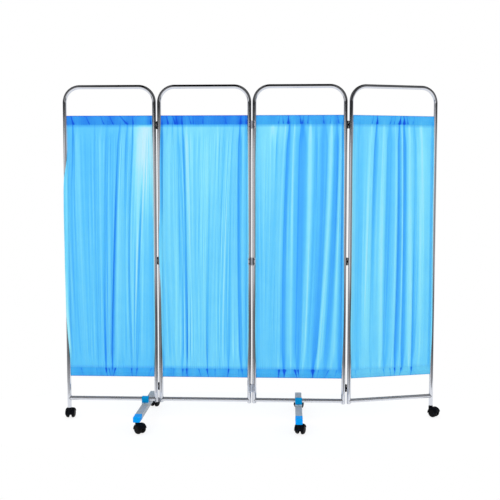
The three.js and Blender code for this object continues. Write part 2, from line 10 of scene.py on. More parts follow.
import bmesh
import bpy
import numpy as np
from bpy.props import FloatProperty, FloatVectorProperty, IntProperty, PointerProperty
from bpy.types import Operator, Panel, PropertyGroup
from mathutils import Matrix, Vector


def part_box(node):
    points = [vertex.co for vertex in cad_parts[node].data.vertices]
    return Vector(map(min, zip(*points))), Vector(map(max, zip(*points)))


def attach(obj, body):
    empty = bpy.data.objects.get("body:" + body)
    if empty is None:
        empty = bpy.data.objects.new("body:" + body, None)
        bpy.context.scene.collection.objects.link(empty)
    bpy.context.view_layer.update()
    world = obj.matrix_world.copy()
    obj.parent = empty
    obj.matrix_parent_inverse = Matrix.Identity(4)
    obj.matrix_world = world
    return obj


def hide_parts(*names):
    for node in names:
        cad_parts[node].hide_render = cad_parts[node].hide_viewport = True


bl_info = {
    "name": "Ward Privacy Screen",
    "version": (1, 0, 0),
    "blender": (4, 5, 0),
    "location": "3D Viewport > Sidebar > Screen",
    "description": "Folding privacy screen with four curtained panels on casters",
    "category": "Add Mesh",
}

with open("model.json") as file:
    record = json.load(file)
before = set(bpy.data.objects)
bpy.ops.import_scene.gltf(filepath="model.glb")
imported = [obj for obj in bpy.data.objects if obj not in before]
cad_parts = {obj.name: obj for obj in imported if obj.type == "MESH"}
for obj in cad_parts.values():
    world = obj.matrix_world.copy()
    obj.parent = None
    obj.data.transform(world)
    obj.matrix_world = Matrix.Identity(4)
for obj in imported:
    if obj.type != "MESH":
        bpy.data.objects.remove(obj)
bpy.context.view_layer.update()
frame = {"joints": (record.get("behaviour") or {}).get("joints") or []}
joints = {joint["name"]: joint for joint in frame["joints"]}

TURN = 2 * math.pi
QUARTER = TURN / 4
PANELS = (1, 2, 3, 4)
SIDES = (-1, 1)
CASTERS = ("leg_1", "foot_1_front", "foot_1_rear", "foot_2_front", "foot_2_rear", "leg_4")


# Sizes and colours that a user would change


def length(name, description, default):
    """A length setting in metres, from zero up."""
    return FloatProperty(
        name=name, description=description, default=default, min=0.0, unit="LENGTH", precision=4
    )


def colour(name, description, default):
    """A colour setting of three shares from zero to one."""
    return FloatVectorProperty(
        name=name, description=description, default=default, size=3, min=0.0, max=1.0,
        subtype="COLOR",
    )


class TubeSettings(PropertyGroup):
    """Sizes and colours of the chromed frames, their rails and the rods."""

    height: length("Height", "Height of the top of the frames", 1.8)
    spacing: length("Leg spacing", "Distance between the centre lines of a panel's legs", 0.478)
    diameter: length("Tube diameter", "Outer diameter of frame tube and rail", 0.022)
    wall: length("Tube wall", "Wall thickness of frame tube and rail", 0.0012)
    corner: length("Corner radius", "Radius of the two top bends, on the centre line", 0.082)
    rail: length("Rail height", "Height of the rail's centre line", 0.114)
    rod: length("Rod diameter", "Diameter of the curtain rods", 0.008)
    weld: length("Weld size", "Radius of the weld bead round each end of a rail", 0.0016)
    plug: length("Plug depth", "How far a leg's end plug stands out below the leg", 0.0035)
    sides: IntProperty(name="Sides", description="Sides of each tube", default=40, min=12)
    chrome: colour("Chrome", "Colour of the chrome plate", (0.68, 0.695, 0.745))
    zinc: colour("Zinc", "Colour of the zinc plated rods", (0.55, 0.56, 0.58))
    plug_grey: colour("Plug", "Colour of the plugs in the tube ends", (0.56, 0.57, 0.60))


class CurtainSettings(PropertyGroup):
    """Sizes and colours of the gathered curtains."""

    top: length("Top", "Height of the curtains' top edge", 1.639)
    bottom: length("Bottom", "Height of the curtains' bottom edge", 0.236)
    width: length("Width", "Width between the side edges at the top rod", 0.453)
    hem: length("Hem", "Height of the rod pocket hems", 0.05)
    pocket: length("Pocket", "Distance from the edge to the rod's centre line", 0.024)
    cloth: length("Cloth", "Thickness of the cloth", 0.0005)
    seam: length("Side seam", "Width of the seam along each side edge", 0.009)
    stitch: length("Stitch", "Pitch of the stitches", 0.0032)
    thread: length("Thread", "Thickness of the sewing thread", 0.00036)
    forward: length("Forward", "How far the ridges stand in front of the rods", 0.006)
    depth: length("Fold depth", "Depth of the deepest fold", 0.014)
    # The pale and ridge colours are painted light where light comes through; the fold, crease and
    # deep crease colours are painted shade in folds, creases and hems. The cloth colour is the
    # cloth's own.
    pale: colour("Pale", "Colour where much light comes through", (0.66, 0.89, 0.96))
    ridge: colour("Ridge", "Colour of the ridges", (0.360, 0.84, 0.965))
    cloth_blue: colour("Cloth", "Colour of the single cloth", (0.172, 0.685, 0.965))
    fold: colour("Fold", "Colour in the folds", (0.055, 0.47, 0.96))
    crease: colour("Crease", "Colour of the creases", (0.008, 0.19, 0.88))
    deep_crease: colour("Deep crease", "Colour of the deepest creases", (0.0, 0.105, 0.80))


class HingeSettings(PropertyGroup):
    """Sizes and colours of the butt hinges."""

    leaf_height: length("Leaf height", "Height of each leaf", 0.040)
    leaf_thickness: length("Leaf thickness", "Thickness of the leaves", 0.0015)
    knuckle: length("Knuckle", "Diameter of the knuckles", 0.008)
    pin: length("Pin", "Diameter of the pin's heads", 0.0062)
    screw: length("Screw", "Diameter of the screw heads", 0.0056)
    screw_spacing: length("Screw spacing", "Distance between a leaf's two screws", 0.023)
    # The leaf colour is painted shade, near black, and the pale leaf colour painted light: shaded
    # and lit copies of one hinge steel. The worn colour is the painted highlight of the bright
    # knuckles and the colour of worn leaf edges.
    dark: colour("Leaf", "Colour of the leaves", (0.022, 0.024, 0.032))
    worn: colour("Worn", "Colour of the bright knuckles", (0.66, 0.64, 0.70))
    pale: colour("Pale leaf", "Colour of the bright zinc plated leaves", (0.50, 0.54, 0.62))


class FootSettings(PropertyGroup):
    """Sizes and colours of the two cross feet."""

    width: length("Width", "Width of the bar", 0.036)
    height: length("Height", "Height of the bar", 0.028)
    wall: length("Wall", "Wall thickness of the bar", 0.0015)
    edge: length("Edge", "Radius of the bar's long edges", 0.0026)
    cap_wall: length("Cap wall", "Wall thickness of the front cap", 0.0006)
    cap_edge: length("Cap edge", "Radius of the cap's edges", 0.004)
    saddle_edge: length("Saddle edge", "Radius of the saddle's edges", 0.0022)
    metal: colour("Bar", "Colour of the silver-grey bar", (0.34, 0.37, 0.41))
    plate: colour("Plate", "Colour of the plate under the saddle", (0.40, 0.48, 0.52))
    blue: colour("Cap", "Colour of the front caps", (0.002, 0.32, 0.84))
    # The saddle colour is a shaded copy of the caps' blue, painted darker
    deep_blue: colour("Saddle", "Colour of the clamp saddles", (0.0, 0.255, 0.58))


class CasterSettings(PropertyGroup):
    """Sizes and colours of the twin-wheel casters."""

    wheel: length("Wheel", "Diameter of the wheels", 0.050)
    half_width: length("Half width", "Distance from the middle to a wheel's outer face", 0.0245)
    web: length("Web", "Thickness of the body between the wheels", 0.015)
    gap: length("Gap", "Gap between body and wheel", 0.0015)
    hood: length("Hood", "Outer radius of the hood over the wheels", 0.030)
    boss: length("Boss", "Diameter of the stem boss", 0.024)
    stem: length("Stem", "Diameter of the stem", 0.011)
    height: length("Height", "Height of the boss's top over the floor", 0.058)
    black: colour("Body", "Colour of the black bodies", (0.0028, 0.0034, 0.0060))
    tyre: colour("Wheel", "Colour of the black wheels", (0.0045, 0.0045, 0.0055))


class StageSettings(PropertyGroup):
    """Floor, lamps and camera."""

    floor: length("Floor", "Half length of the oval floor", 1.9)
    floor_depth: length("Floor depth", "Half depth of the oval floor", 0.62)
    lens: FloatProperty(name="Lens", description="Focal length", default=61.9, unit="CAMERA")
    floor_white: colour("Floor", "Colour of the floor", (0.90, 0.90, 0.91))
    lamp: FloatProperty(name="Lamp", description="Power of the front lamp", default=62.0)


def settings(name):
    """The scene's group of sizes and colours with this name."""
    return getattr(bpy.context.scene, "ward_screen_" + name)


# Shapes: functions of two parameters, worked out as whole arrays


def unit(vectors):
    """Vectors divided by their own lengths."""
    size = np.linalg.norm(vectors, axis=-1, keepdims=True)
    return vectors / np.maximum(size, 1e-12)


def smooth(share):
    """0 below 0, 1 above 1, and 3 s^2 - 2 s^3 between."""
    share = np.clip(share, 0.0, 1.0)
    return share * share * (3 - 2 * share)


def bump(place, centre, width):
    """A bell, exp(-((place - centre) / width)^2)."""
    return np.exp(-(((place - centre) / width) ** 2))


def running(steps):
    """The running sum of steps, from zero."""
    return np.concatenate([[0.0], np.cumsum(steps)])


def spans(points, axis=0):
    """Distances between neighbouring points."""
    return np.linalg.norm(np.diff(points, axis=axis), axis=-1)


def angles(count):
    """Equal steps of angle round a circle."""
    return TURN * np.arange(count) / count


def circle(radius, sides):
    """Points of a circle, radius times (cosine, sine) of equal steps of angle."""
    angle = angles(sides)
    return radius * np.stack([np.cos(angle), np.sin(angle)], -1)


def filleted(corners, radius, steps=5, closed=True):
    """An outline through the corners with an arc for each corner. The arc's centre stands on the
    corner's bisector at radius / sin(half the corner's angle), and its points turn evenly from
    one side to the other. An open outline keeps its two ends."""
    corners = np.asarray(corners, float)
    radius = np.broadcast_to(radius, len(corners)).astype(float)
    ends = corners[[0, -1]]
    before = unit(np.roll(corners, 1, 0) - corners)
    after = unit(np.roll(corners, -1, 0) - corners)
    if not closed:
        corners, radius = corners[1:-1], radius[1:-1]
        before, after = before[1:-1], after[1:-1]
    cosine = np.clip(np.sum(before * after, -1), -1.0, 1.0)
    half = 0.5 * np.arccos(cosine)[:, None]
    radius = radius[:, None]
    centre = corners + unit(before + after) * radius / np.sin(half)
    first = corners + before * radius / np.tan(half) - centre
    last = corners + after * radius / np.tan(half) - centre
    sweep = (math.pi - 2 * half)[:, None]
    share = np.linspace(0.0, 1.0, steps + 1)[None, :, None]
    weight_first = np.sin((1 - share) * sweep) / np.sin(sweep)
    weight_last = np.sin(share * sweep) / np.sin(sweep)
    arcs = centre[:, None] + weight_first * first[:, None] + weight_last * last[:, None]
    points = arcs.reshape(-1, corners.shape[-1])
    return points if closed else np.vstack([ends[:1], points, ends[1:]])


def rounded_box(width, height, radius, steps=5):
    """Outline of a rectangle about the origin with round corners."""
    x, y = width / 2, height / 2
    return filleted([(x, -y), (x, y), (-x, y), (-x, -y)], radius, steps)


def inset(outline, distance):
    """A closed outline moved inwards: each point along the bisector of its two sides, by distance
    over the cosine of half their turn, so that every side moves by distance."""
    ahead = unit(np.roll(outline, -1, 0) - outline)
    behind = unit(outline - np.roll(outline, 1, 0))
    normal = unit(np.stack([-(ahead + behind)[:, 1], (ahead + behind)[:, 0]], -1))
    side = np.stack([-ahead[:, 1], ahead[:, 0]], -1)
    stretch = 1.0 / np.maximum(np.sum(normal * side, -1, keepdims=True), 0.3)
    return outline + normal * stretch * distance


def swept(section, path, across):
    """A section carried along a path: each path point, plus the section's first value along the
    path's own normal, plus its second along one fixed direction across the path's plane. The
    section is one outline, or one for each point of the path."""
    path = np.asarray(path, float)
    section = np.broadcast_to(section, (len(path),) + np.shape(section)[-2:])
    along = unit(np.gradient(path, axis=0))
    across = np.asarray(across, float)
    normal = unit(np.cross(along, across))
    return path[:, None] + section[..., :1] * normal[:, None] + section[..., 1:] * across


def pipe(outer, inner, path, across):
    """A section carried along a path, and a smaller one carried back inside it."""
    return np.concatenate([swept(outer, path, across), swept(inner, path, across)[::-1]])


def turned(profile, sides):
    """A profile of (radius, height) turned round the Z axis in equal steps of angle."""
    profile = np.asarray(profile, float)
    flat = profile[:, None, :1] * circle(1.0, sides)[None]
    return raised(flat, profile[:, 1])


def lathe(corners, radius, steps, sides):
    """A solid turned round the Z axis: (radius, height) corners from axis to axis, each with an
    arc of its own radius."""
    return turned(filleted(corners, radius, steps, closed=False)[1:-1], sides)


def drum(radius, low, high, edge, steps, sides):
    """A round bar between two heights with rounded rims."""
    return lathe([(0.0, low), (radius, low), (radius, high), (0.0, high)], edge, steps, sides)


def raised(outlines, heights):
    """Closed outlines in X and Y, one above the other at their heights."""
    outlines = np.asarray(outlines, float)
    heights = np.asarray(heights, float)[:, None, None]
    return np.concatenate([outlines, np.broadcast_to(heights, outlines.shape[:2] + (1,))], -1)


def stepped(outline, steps):
    """An outline moved in and up by each (inset, height) step."""
    return raised([inset(outline, inward) for inward, _ in steps], [up for _, up in steps])


def rim(edge, steps):
    """Insets and climbs of a round edge: edge (1 - sine) and edge (1 - cosine) of even angles."""
    angle = np.linspace(0.0, QUARTER, steps + 1)
    return edge * (1 - np.sin(angle)), edge * (1 - np.cos(angle))


def bevelled(outline, low, high, edge, steps=3):
    """A block with round edges between two heights."""
    inward, climb = rim(edge, steps)
    return stepped(outline, [*zip(inward, low + climb), *zip(inward[::-1], high - climb[::-1])])


# Directions along which a shape's own X, Y and Z are laid, named for where its Z points
TO_RIGHT = ((0, 1, 0), (0, 0, 1), (1, 0, 0))
TO_BACK = ((-1, 0, 0), (0, 0, 1), (0, 1, 0))
TO_FRONT = ((1, 0, 0), (0, 0, 1), (0, -1, 0))


def faced(points, axes, origin=(0.0, 0.0, 0.0)):
    """Points whose own axes are laid along three given directions from an origin."""
    return np.asarray(points) @ np.array(axes, float) + np.asarray(origin, float)


class Place:
    """A spot on the floor plan of the row frame, with a turn about the vertical."""

    def __init__(self, x, y, turn=0.0):
        self.x, self.y, self.turn = x, y, turn

    def __call__(self, points):
        """Points turned by the angle and moved to the spot."""
        cosine, sine = math.cos(self.turn), math.sin(self.turn)
        rows = [[cosine, sine, 0.0], [-sine, cosine, 0.0], [0.0, 0.0, 1.0]]
        return np.asarray(points) @ np.array(rows) + np.array([self.x, self.y, 0.0])

    def inside(self, x, y):
        """A spot given in this one's own axes, with the same turn."""
        moved = self(np.array([x, y, 0.0]))
        return Place(moved[0], moved[1], self.turn)


class Shell:
    """Grids of points that make up one piece, with a place on the surface and a share of wear and
    of painted highlight for each point."""

    def __init__(self):
        self.points, self.faces, self.places, self.wear, self.count = [], [], [], [], 0

    def add(self, grid, closed_rows=False, poles=False, open_columns=False, wear=0.0,
            places=None):
        """Adds a grid of rows and columns. Columns close on themselves unless open_columns is
        set, rows do with closed_rows, and poles closes the first and last row with a fan. Wear and
        painted highlight is one share, or a dictionary of spans of rows, from the first to the
        end, and shares."""
        grid = np.asarray(grid, float)
        rows, columns = grid.shape[:2]
        if isinstance(wear, dict):
            shares, wear = wear, np.zeros((rows, columns))
            for (first, end), share in shares.items():
                wear[first:end] = share
        index = self.count + np.arange(rows * columns).reshape(rows, columns)
        if places is None:
            places = surface_places(grid, closed_rows, not open_columns)
        if closed_rows:
            index = np.vstack([index, index[:1]])
        if not open_columns:
            index = np.hstack([index, index[:, :1]])
        before, after = slice(None, -1), slice(1, None)
        corners = [(before, before), (before, after), (after, after), (after, before)]
        self.extend(grid, np.broadcast_to(wear, (rows, columns)),
                    np.stack([index[corner] for corner in corners], -1),
                    np.stack([places[corner] for corner in corners], -2))
        if poles:
            self.close(grid[0], index[0, ::-1], places[0, ::-1])
            self.close(grid[-1], index[-1], places[-1])
        return self

    def close(self, ring, index, places):
        """Closes a ring with a fan of triangles to its middle."""
        middle = np.full(len(index) - 1, self.count)
        centre = np.broadcast_to(places.mean(0), places[:-1].shape)
        self.extend(ring.mean(0), np.zeros(1), np.stack([index[:-1], index[1:], middle], -1),
                    np.stack([places[:-1], places[1:], centre], -2))

    def extend(self, points, wear, faces, places):
        """Adds points with their wear and painted highlight, and faces with a place for each
        corner.
        """
        self.points.append(points.reshape(-1, 3))
        self.wear.append(wear.reshape(-1))
        self.faces.append(faces.reshape(-1, faces.shape[-1]))
        self.places.append(places.reshape(-1, 2))
        self.count += wear.size

    def moved(self, change):
        """The shell with all its points changed by a function."""
        self.points = [change(points) for points in self.points]
        return self

    def mesh_piece(self, name, material, closed=True, smooth_degrees=35.0):
        """The mesh object of all the grids, with doubles merged and faces outwards if closed."""
        mesh = bpy.data.meshes.new(name)
        faces = [face for group in self.faces for face in group.tolist()]
        mesh.from_pydata(np.concatenate(self.points).tolist(), [], faces)
        layer = mesh.uv_layers.new(name="Surface")
        layer.data.foreach_set("uv", np.concatenate(self.places).astype(np.float32).ravel())
        point_attribute(mesh, "wear", np.concatenate(self.wear))
        if closed:
            tidy_mesh(mesh)
        mesh.polygons.foreach_set("use_smooth", np.ones(len(mesh.polygons), bool))
        mesh.set_sharp_from_angle(angle=math.radians(smooth_degrees))
        mesh.materials.append(material)
        thing = bpy.data.objects.new(name, mesh)
        bpy.context.scene.collection.objects.link(thing)
        return thing

    def dress(self, name, finish, body, slot, *nodes, flat_faces=False, **mesh_options):
        """The piece with its named finish, riding on its body. It stands for the nodes."""
        thing = self.mesh_piece(name, material(finish), **mesh_options)
        if flat_faces:
            flat_faces_first(thing)
        return finish_piece(thing, body, slot, *nodes)


def surface_places(grid, closed_rows, closed_columns):
    """Distances in metres along the first column and round the longest row, for each point and
    once more where the grid closes."""
    if closed_rows:
        grid = np.concatenate([grid, grid[:1]], 0)
    if closed_columns:
        grid = np.concatenate([grid, grid[:, :1]], 1)
    down = running(spans(grid).mean(1))
    across = spans(grid, axis=1)
    across = running(across[across.sum(1).argmax()])
    return np.stack(np.broadcast_arrays(across[None, :], down[:, None]), -1)


def point_attribute(mesh, name, values):
    """A number for each point, which the materials read."""
    attribute = mesh.attributes.new(name, "FLOAT", "POINT")
    attribute.data.foreach_set("value", values.astype(np.float32).ravel())


def tidy_mesh(mesh):
    """Merges doubles, drops faces without area and turns all faces outwards."""
    work = bmesh.new()
    work.from_mesh(mesh)
    bmesh.ops.remove_doubles(work, verts=work.verts, dist=1e-6)
    bmesh.ops.dissolve_degenerate(work, edges=work.edges, dist=1e-7)
    bmesh.ops.recalc_face_normals(work, faces=work.faces)
    work.to_mesh(mesh)
    work.free()


def flat_faces_first(thing):
    """Shades large faces flat and leaves the turn to the narrow edges."""
    weighted = thing.modifiers.new("Even shading", "WEIGHTED_NORMAL")
    weighted.keep_sharp = True
    weighted.weight = 80


def finish_piece(thing, body, slot, *nodes):
    """Rides the piece on its body and hides the nodes that it stands for; the slot is not used."""
    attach(thing, body)
    if nodes:
        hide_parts(*nodes)
    return thing


# Where things stand, from the frame


def pivot(joint):
    """A point on a joint's axis."""
    return Vector(joints[joint]["pos_m"])


def bearing_of(offset):
    """The angle of a vector on the floor plan."""
    return math.atan2(offset.y, offset.x)


def panel_place(number):
    """The middle of a panel on the floor plan. The last panel is turned about its hinge line:
    its caster stem's bearing from the pin, less that of the first panel's mirror image."""
    if number < 4:
        low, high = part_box(f"panel_{number}_frame")
        return Place((low.x + high.x) / 2, (low.y + high.y) / 2)
    pin, stem = pivot("panel_4_fold"), pivot("leg_4_caster_swivel")
    straight = pivot("leg_1_caster_swivel") - pivot("panel_1_fold")
    straight.x = -straight.x
    third = panel_place(3)
    hinge = Place(pin.x, pin.y, bearing_of(stem - pin) - bearing_of(straight))
    return hinge.inside(pin.x - third.x, third.y - pin.y)


def caster_trail(name="leg_1"):
    """From a caster's stem to its axle, on the floor plan."""
    trail = pivot(f"{name}_caster_roll") - pivot(f"{name}_caster_swivel")
    return Vector(trail.xy)


def caster_place(name):
    """The stem of a caster, turned so that its own X points to where the wheels trail."""
    stem = pivot(f"{name}_caster_swivel")
    return Place(stem.x, stem.y, bearing_of(caster_trail(name)))


def leg_from_pin():
    """Distances from a hinge's pin to the leg's centre line, across and behind."""
    pin = pivot("panel_1_fold")
    low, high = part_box("panel_1_frame")
    radius = settings("tube").diameter / 2
    return pin.x - (high.x - radius), pin.y - (low.y + high.y) / 2


# Materials

# Ranges of a noise's values, for most of it and for its middle
WIDE, MIDDLE = (0.25, 0.75), (0.3, 0.7)
WHITE = (1.0, 1.0, 1.0, 1.0)


class Nodes:
    """A node tree with short ways to add and join nodes."""

    def __init__(self, tree):
        self.tree = tree

    def node(self, kind, inputs=None, **options):
        """A new shader node with its options, and its inputs set to numbers or joined."""
        node = self.tree.nodes.new("ShaderNode" + kind)
        for key, value in options.items():
            setattr(node, key, value)
        for key, value in (inputs or {}).items():
            self.feed(node.inputs[key], value)
        return node

    def feed(self, socket, value):
        """Joins a node's output to a socket, or sets the socket's own number."""
        if isinstance(value, bpy.types.NodeSocket):
            self.tree.links.new(value, socket)
        else:
            socket.default_value = value

    def math(self, operation, *values):
        """The outcome of one operation on one or two numbers."""
        node = self.node("Math", operation=operation)
        for socket, value in zip(node.inputs, values):
            self.feed(socket, value)
        return node.outputs[0]

    def spread(self, value, low, high, to_low=0.0, to_high=1.0, way="LINEAR"):
        """A value between low and high mapped onto a range."""
        return self.node("MapRange", {
            "Value": value, "From Min": low, "From Max": high, "To Min": to_low, "To Max": to_high,
        }, interpolation_type=way).outputs[0]

    def blend(self, share, first, second):
        """Two numbers mixed by a share: first + share (second - first)."""
        gap = self.math("SUBTRACT", second, first)
        return self.math("ADD", first, self.math("MULTIPLY", gap, share))

    def shaders(self, share, first, second):
        """Two shaders mixed by a share."""
        node = self.node("MixShader", {"Fac": share})
        self.feed(node.inputs[1], first)
        self.feed(node.inputs[2], second)
        return node.outputs[0]


class Finish(Nodes):
    """A material with one shader and short ways to make its patterns."""

    def __init__(self, name, **inputs):
        self.material = bpy.data.materials.new(name)
        self.material.use_nodes = True
        super().__init__(self.material.node_tree)
        self.shader = self.tree.nodes["Principled BSDF"]
        self.coat(**inputs)

    def coat(self, **inputs):
        """Sets or joins the shader's inputs, and gives the material."""
        for name, value in inputs.items():
            self.feed(self.shader.inputs[name.replace("_", " ")], value)
        return self.material

    def covered(self, share, shader):
        """Mixes another shader over the material's own, and gives the material."""
        both = self.shaders(share, self.shader.outputs[0], shader)
        self.feed(self.tree.nodes["Material Output"].inputs["Surface"], both)
        return self.material

    def place(self, source, stretch=(1.0, 1.0, 1.0)):
        """Coordinates of a point, Object or UV, stretched along their axes."""
        coordinates = self.node("TexCoord").outputs[source]
        return self.node("Mapping", {"Vector": coordinates, "Scale": stretch}).outputs[0]

    def noise(self, scale, detail=3.0, roughness=0.55, source="Object", stretch=(1.0, 1.0, 1.0)):
        """Smooth noise from 0 to 1 with so many waves to the metre."""
        return self.node("TexNoise", {
            "Vector": self.place(source, stretch), "Scale": scale, "Detail": detail,
            "Roughness": roughness,
        }).outputs[0]

    def attribute(self, name):
        """A number that each point of the mesh carries."""
        return self.node("Attribute", attribute_name=name).outputs["Fac"]

    def mix(self, share, first, second):
        """Two colours mixed by a share."""
        return self.node("Mix", {"Factor": share, "A": first, "B": second}, data_type="RGBA",
                         blend_type="MIX").outputs["Result"]

    def shades(self, share, value, darker, lighter):
        """A colour between a darker and a lighter one of its own kind."""
        return self.mix(share, tinted(value, darker), tinted(value, lighter))

    def rubbed(self, pattern, base, worn):
        """A colour that turns to another one on worn edges and painted highlights, broken up by a
        pattern.
        """
        return self.mix(self.math("MULTIPLY", self.attribute("wear"), pattern), base, worn)

    def ramp(self, share, stops):
        """A colour for each share, even between the stops."""
        node = self.node("ValToRGB", {"Fac": share})
        elements = node.color_ramp.elements
        while len(elements) < len(stops):
            elements.new(1.0)
        for element, (place, value) in zip(elements, stops):
            element.position = place
            element.color = opaque(value)
        return node.outputs["Color"]

    def relief(self, height, distance, strength):
        """A bump from a height."""
        return self.node("Bump", {
            "Height": height, "Distance": distance, "Strength": strength}).outputs["Normal"]


def opaque(value):
    """A colour with an alpha of one."""
    return (*value, 1.0)


def tinted(value, factor):
    """A colour made lighter or darker, still within range."""
    return opaque(min(1.0, part * factor) for part in value)


def chrome_finish(name, rough, metallic=1.0):
    """Mirror chrome: a cloudy polish, slow ripples of the plate and a few dull spots."""
    finish = Finish(name, Metallic=metallic)
    clouds = finish.noise(9.0)
    spots = finish.noise(90.0, 1.0, 0.5)
    ripples = finish.noise(1.0, 1.0, source="UV", stretch=(60.0, 5.0, 1.0))
    polish = finish.spread(clouds, 0.3, 0.75, rough, rough + 0.055)
    dull = finish.spread(spots, 0.72, 0.80, 0.0, 0.035)
    return finish.coat(
        Roughness=finish.math("ADD", polish, dull),
        Base_Color=finish.shades(
            finish.spread(clouds, *WIDE), settings("tube").chrome, 0.95, 1.04),
        Normal=finish.relief(ripples, 0.0002, 0.10))


def brushed_finish(name, value, rough, scale, metallic=1.0, stretch=(1.0, 1.0, 1.0),
                   worn=None):
    """Plated or painted steel: fine brushing, cloudy tone, bright worn edges and painted
    highlights.
    """
    finish = Finish(name, Metallic=metallic)
    brushing = finish.noise(scale, stretch=stretch)
    clouds = finish.noise(38.0, 4.0)
    base = finish.shades(finish.spread(clouds, *WIDE), value, 0.90, 1.09)
    return finish.coat(
        Base_Color=finish.rubbed(
            finish.spread(brushing, 0.35, 0.65, 0.6, 1.0), base,
            opaque(worn) if worn else tinted(value, 1.5)),
        Roughness=finish.spread(brushing, *WIDE, rough - 0.07, rough + 0.09),
        Normal=finish.relief(brushing, 0.00006, 0.35))


def plastic_finish(name, value, rough, grain=1600.0, scuff=1.15, gloss=0.12):
    """Moulded plastic: fine spark-eroded grain, faint flow marks, lighter rubbed edges."""
    finish = Finish(name, Specular_IOR_Level=gloss)
    pores = finish.noise(grain, 2.0, 0.6)
    flow = finish.noise(46.0, stretch=(1.0, 1.0, 2.4))
    base = finish.shades(finish.spread(flow, *MIDDLE), value, 0.92, 1.06)
    return finish.coat(
        Base_Color=finish.rubbed(
            finish.spread(flow, 0.4, 0.6, 0.3, 0.9), base, tinted(value, scuff)),
        Roughness=finish.spread(flow, *WIDE, rough - 0.05, rough + 0.07),
        Normal=finish.relief(pores, 0.00004, 0.5))


def wheel_finish():
    """Black nylon wheels: a greyer tread with rolled-in dust and fine scratches round it."""
    finish = Finish("wheel_nylon", Specular_IOR_Level=0.07)
    dust = finish.noise(240.0, 4.0)
    tread = finish.math(
        "MULTIPLY", finish.attribute("wear"), finish.spread(dust, 0.4, 0.7, 0.15, 1.0))
    return finish.coat(
        Base_Color=finish.mix(tread, opaque(settings("caster").tyre), (0.010, 0.0095, 0.009, 1.0)),
        Roughness=finish.spread(tread, 0.0, 1.0, 0.4, 0.65),
        Normal=finish.relief(dust, 0.00006, 0.4))


def cloth_finish():
    """Thin woven nylon: light comes through the single cloth and less through folds and hems.
    The depth attribute runs from ridges to creases and paints their light and shade into the
    colour, and the weave follows the cloth's threads."""
    curtain = settings("curtain")
    finish = Finish("curtain_nylon", Sheen_Weight=0.12, Sheen_Roughness=0.4, Roughness=0.62,
                    Specular_IOR_Level=0.2)
    warp, weft = (finish.noise(1.0, 2.0, source="UV", stretch=stretch)
                  for stretch in ((2600.0, 40.0, 1.0), (40.0, 2600.0, 1.0)))
    slub = finish.math("ADD", finish.spread(warp, *MIDDLE, -0.028, 0.028),
                       finish.spread(weft, *MIDDLE, -0.022, 0.022))
    drift = finish.spread(finish.noise(9.0, 4.0, source="UV"), *MIDDLE, -0.025, 0.025)
    depth = finish.math("ADD", finish.attribute("depth"), finish.math("ADD", slub, drift))
    # The ramp paints light with the pale and ridge colours and shade with the fold and crease
    # colours
    tone = finish.ramp(finish.spread(depth, -0.6, 1.4), [
        (0.0, curtain.pale), (0.17, curtain.ridge), (0.33, curtain.cloth_blue),
        (0.575, curtain.fold), (0.86, curtain.crease), (1.0, curtain.deep_crease),
    ])
    weave = finish.math("MULTIPLY", *(
        finish.node("TexWave", {"Vector": finish.place("UV"), "Scale": 420.0},
                    bands_direction=axis).outputs["Fac"] for axis in "XY"))
    relief = finish.relief(finish.math("ADD", weave, slub), 0.00012, 0.35)
    finish.coat(Base_Color=tone, Normal=relief)
    through = finish.node("BsdfTranslucent", {"Color": tone, "Normal": relief})
    share = finish.spread(finish.attribute("covers"), 0.0, 1.0, 0.48, 0.04)
    return finish.covered(share, through.outputs[0])


def thread_finish():
    """Twisted sewing thread, a shade deeper than the cloth."""
    curtain = settings("curtain")
    finish = Finish("sewing_thread", Roughness=0.6, Sheen_Weight=0.3)
    twist = finish.noise(2200.0, 2.0)
    return finish.coat(
        Base_Color=finish.mix(finish.spread(twist, 0.35, 0.65), opaque(curtain.fold),
                              opaque(curtain.cloth_blue)),
        Normal=finish.relief(twist, 0.0001, 0.5))


made = {}


def material(name):
    """The named material, made when it is first asked for."""
    if name not in made:
        tube, hinge, foot, caster = map(settings, ("tube", "hinge", "foot", "caster"))
        make, *values = {
            "chrome": (chrome_finish, "chrome_plate", 0.045),
            "satin": (chrome_finish, "satin_chrome", 0.26, 0.84),
            "zinc": (brushed_finish, "zinc_rod", tube.zinc, 0.34, 900.0),
            "plug": (plastic_finish, "grey_plug", tube.plug_grey, 0.45),
            "cloth": (cloth_finish,),
            "thread": (thread_finish,),
            # Shaded and lit copies of one hinge steel, painted near black and pale; the dark one's
            # worn colour also paints the knuckles' highlight
            "dark_hinge": (brushed_finish, "dark_hinge", hinge.dark, 0.42, 700.0, 0.6,
                           (1.0, 1.0, 1.0), hinge.worn),
            "pale_hinge": (brushed_finish, "pale_hinge", hinge.pale, 0.3, 700.0),
            "bar": (brushed_finish, "silver_bar", foot.metal, 0.5, 60.0, 0.0, (14.0, 1.0, 14.0)),
            "plate": (brushed_finish, "foot_plate", foot.plate, 0.42, 500.0, 0.3),
            "blue": (plastic_finish, "blue_plastic", foot.blue, 0.5, 1600.0, 1.15, 0.05),
            # The saddles' plastic is a shaded copy of the caps' blue, painted darker
            "deep_blue": (plastic_finish, "deep_blue_plastic", foot.deep_blue, 0.5, 1600.0, 1.15,
                          0.05),
            "black": (plastic_finish, "black_plastic", caster.black, 0.5, 1400.0, 3.0, 0.07),
            "wheel": (wheel_finish,),
        }[name]
        made[name] = make(*values)
    return made[name]


# Frames, rails and rods


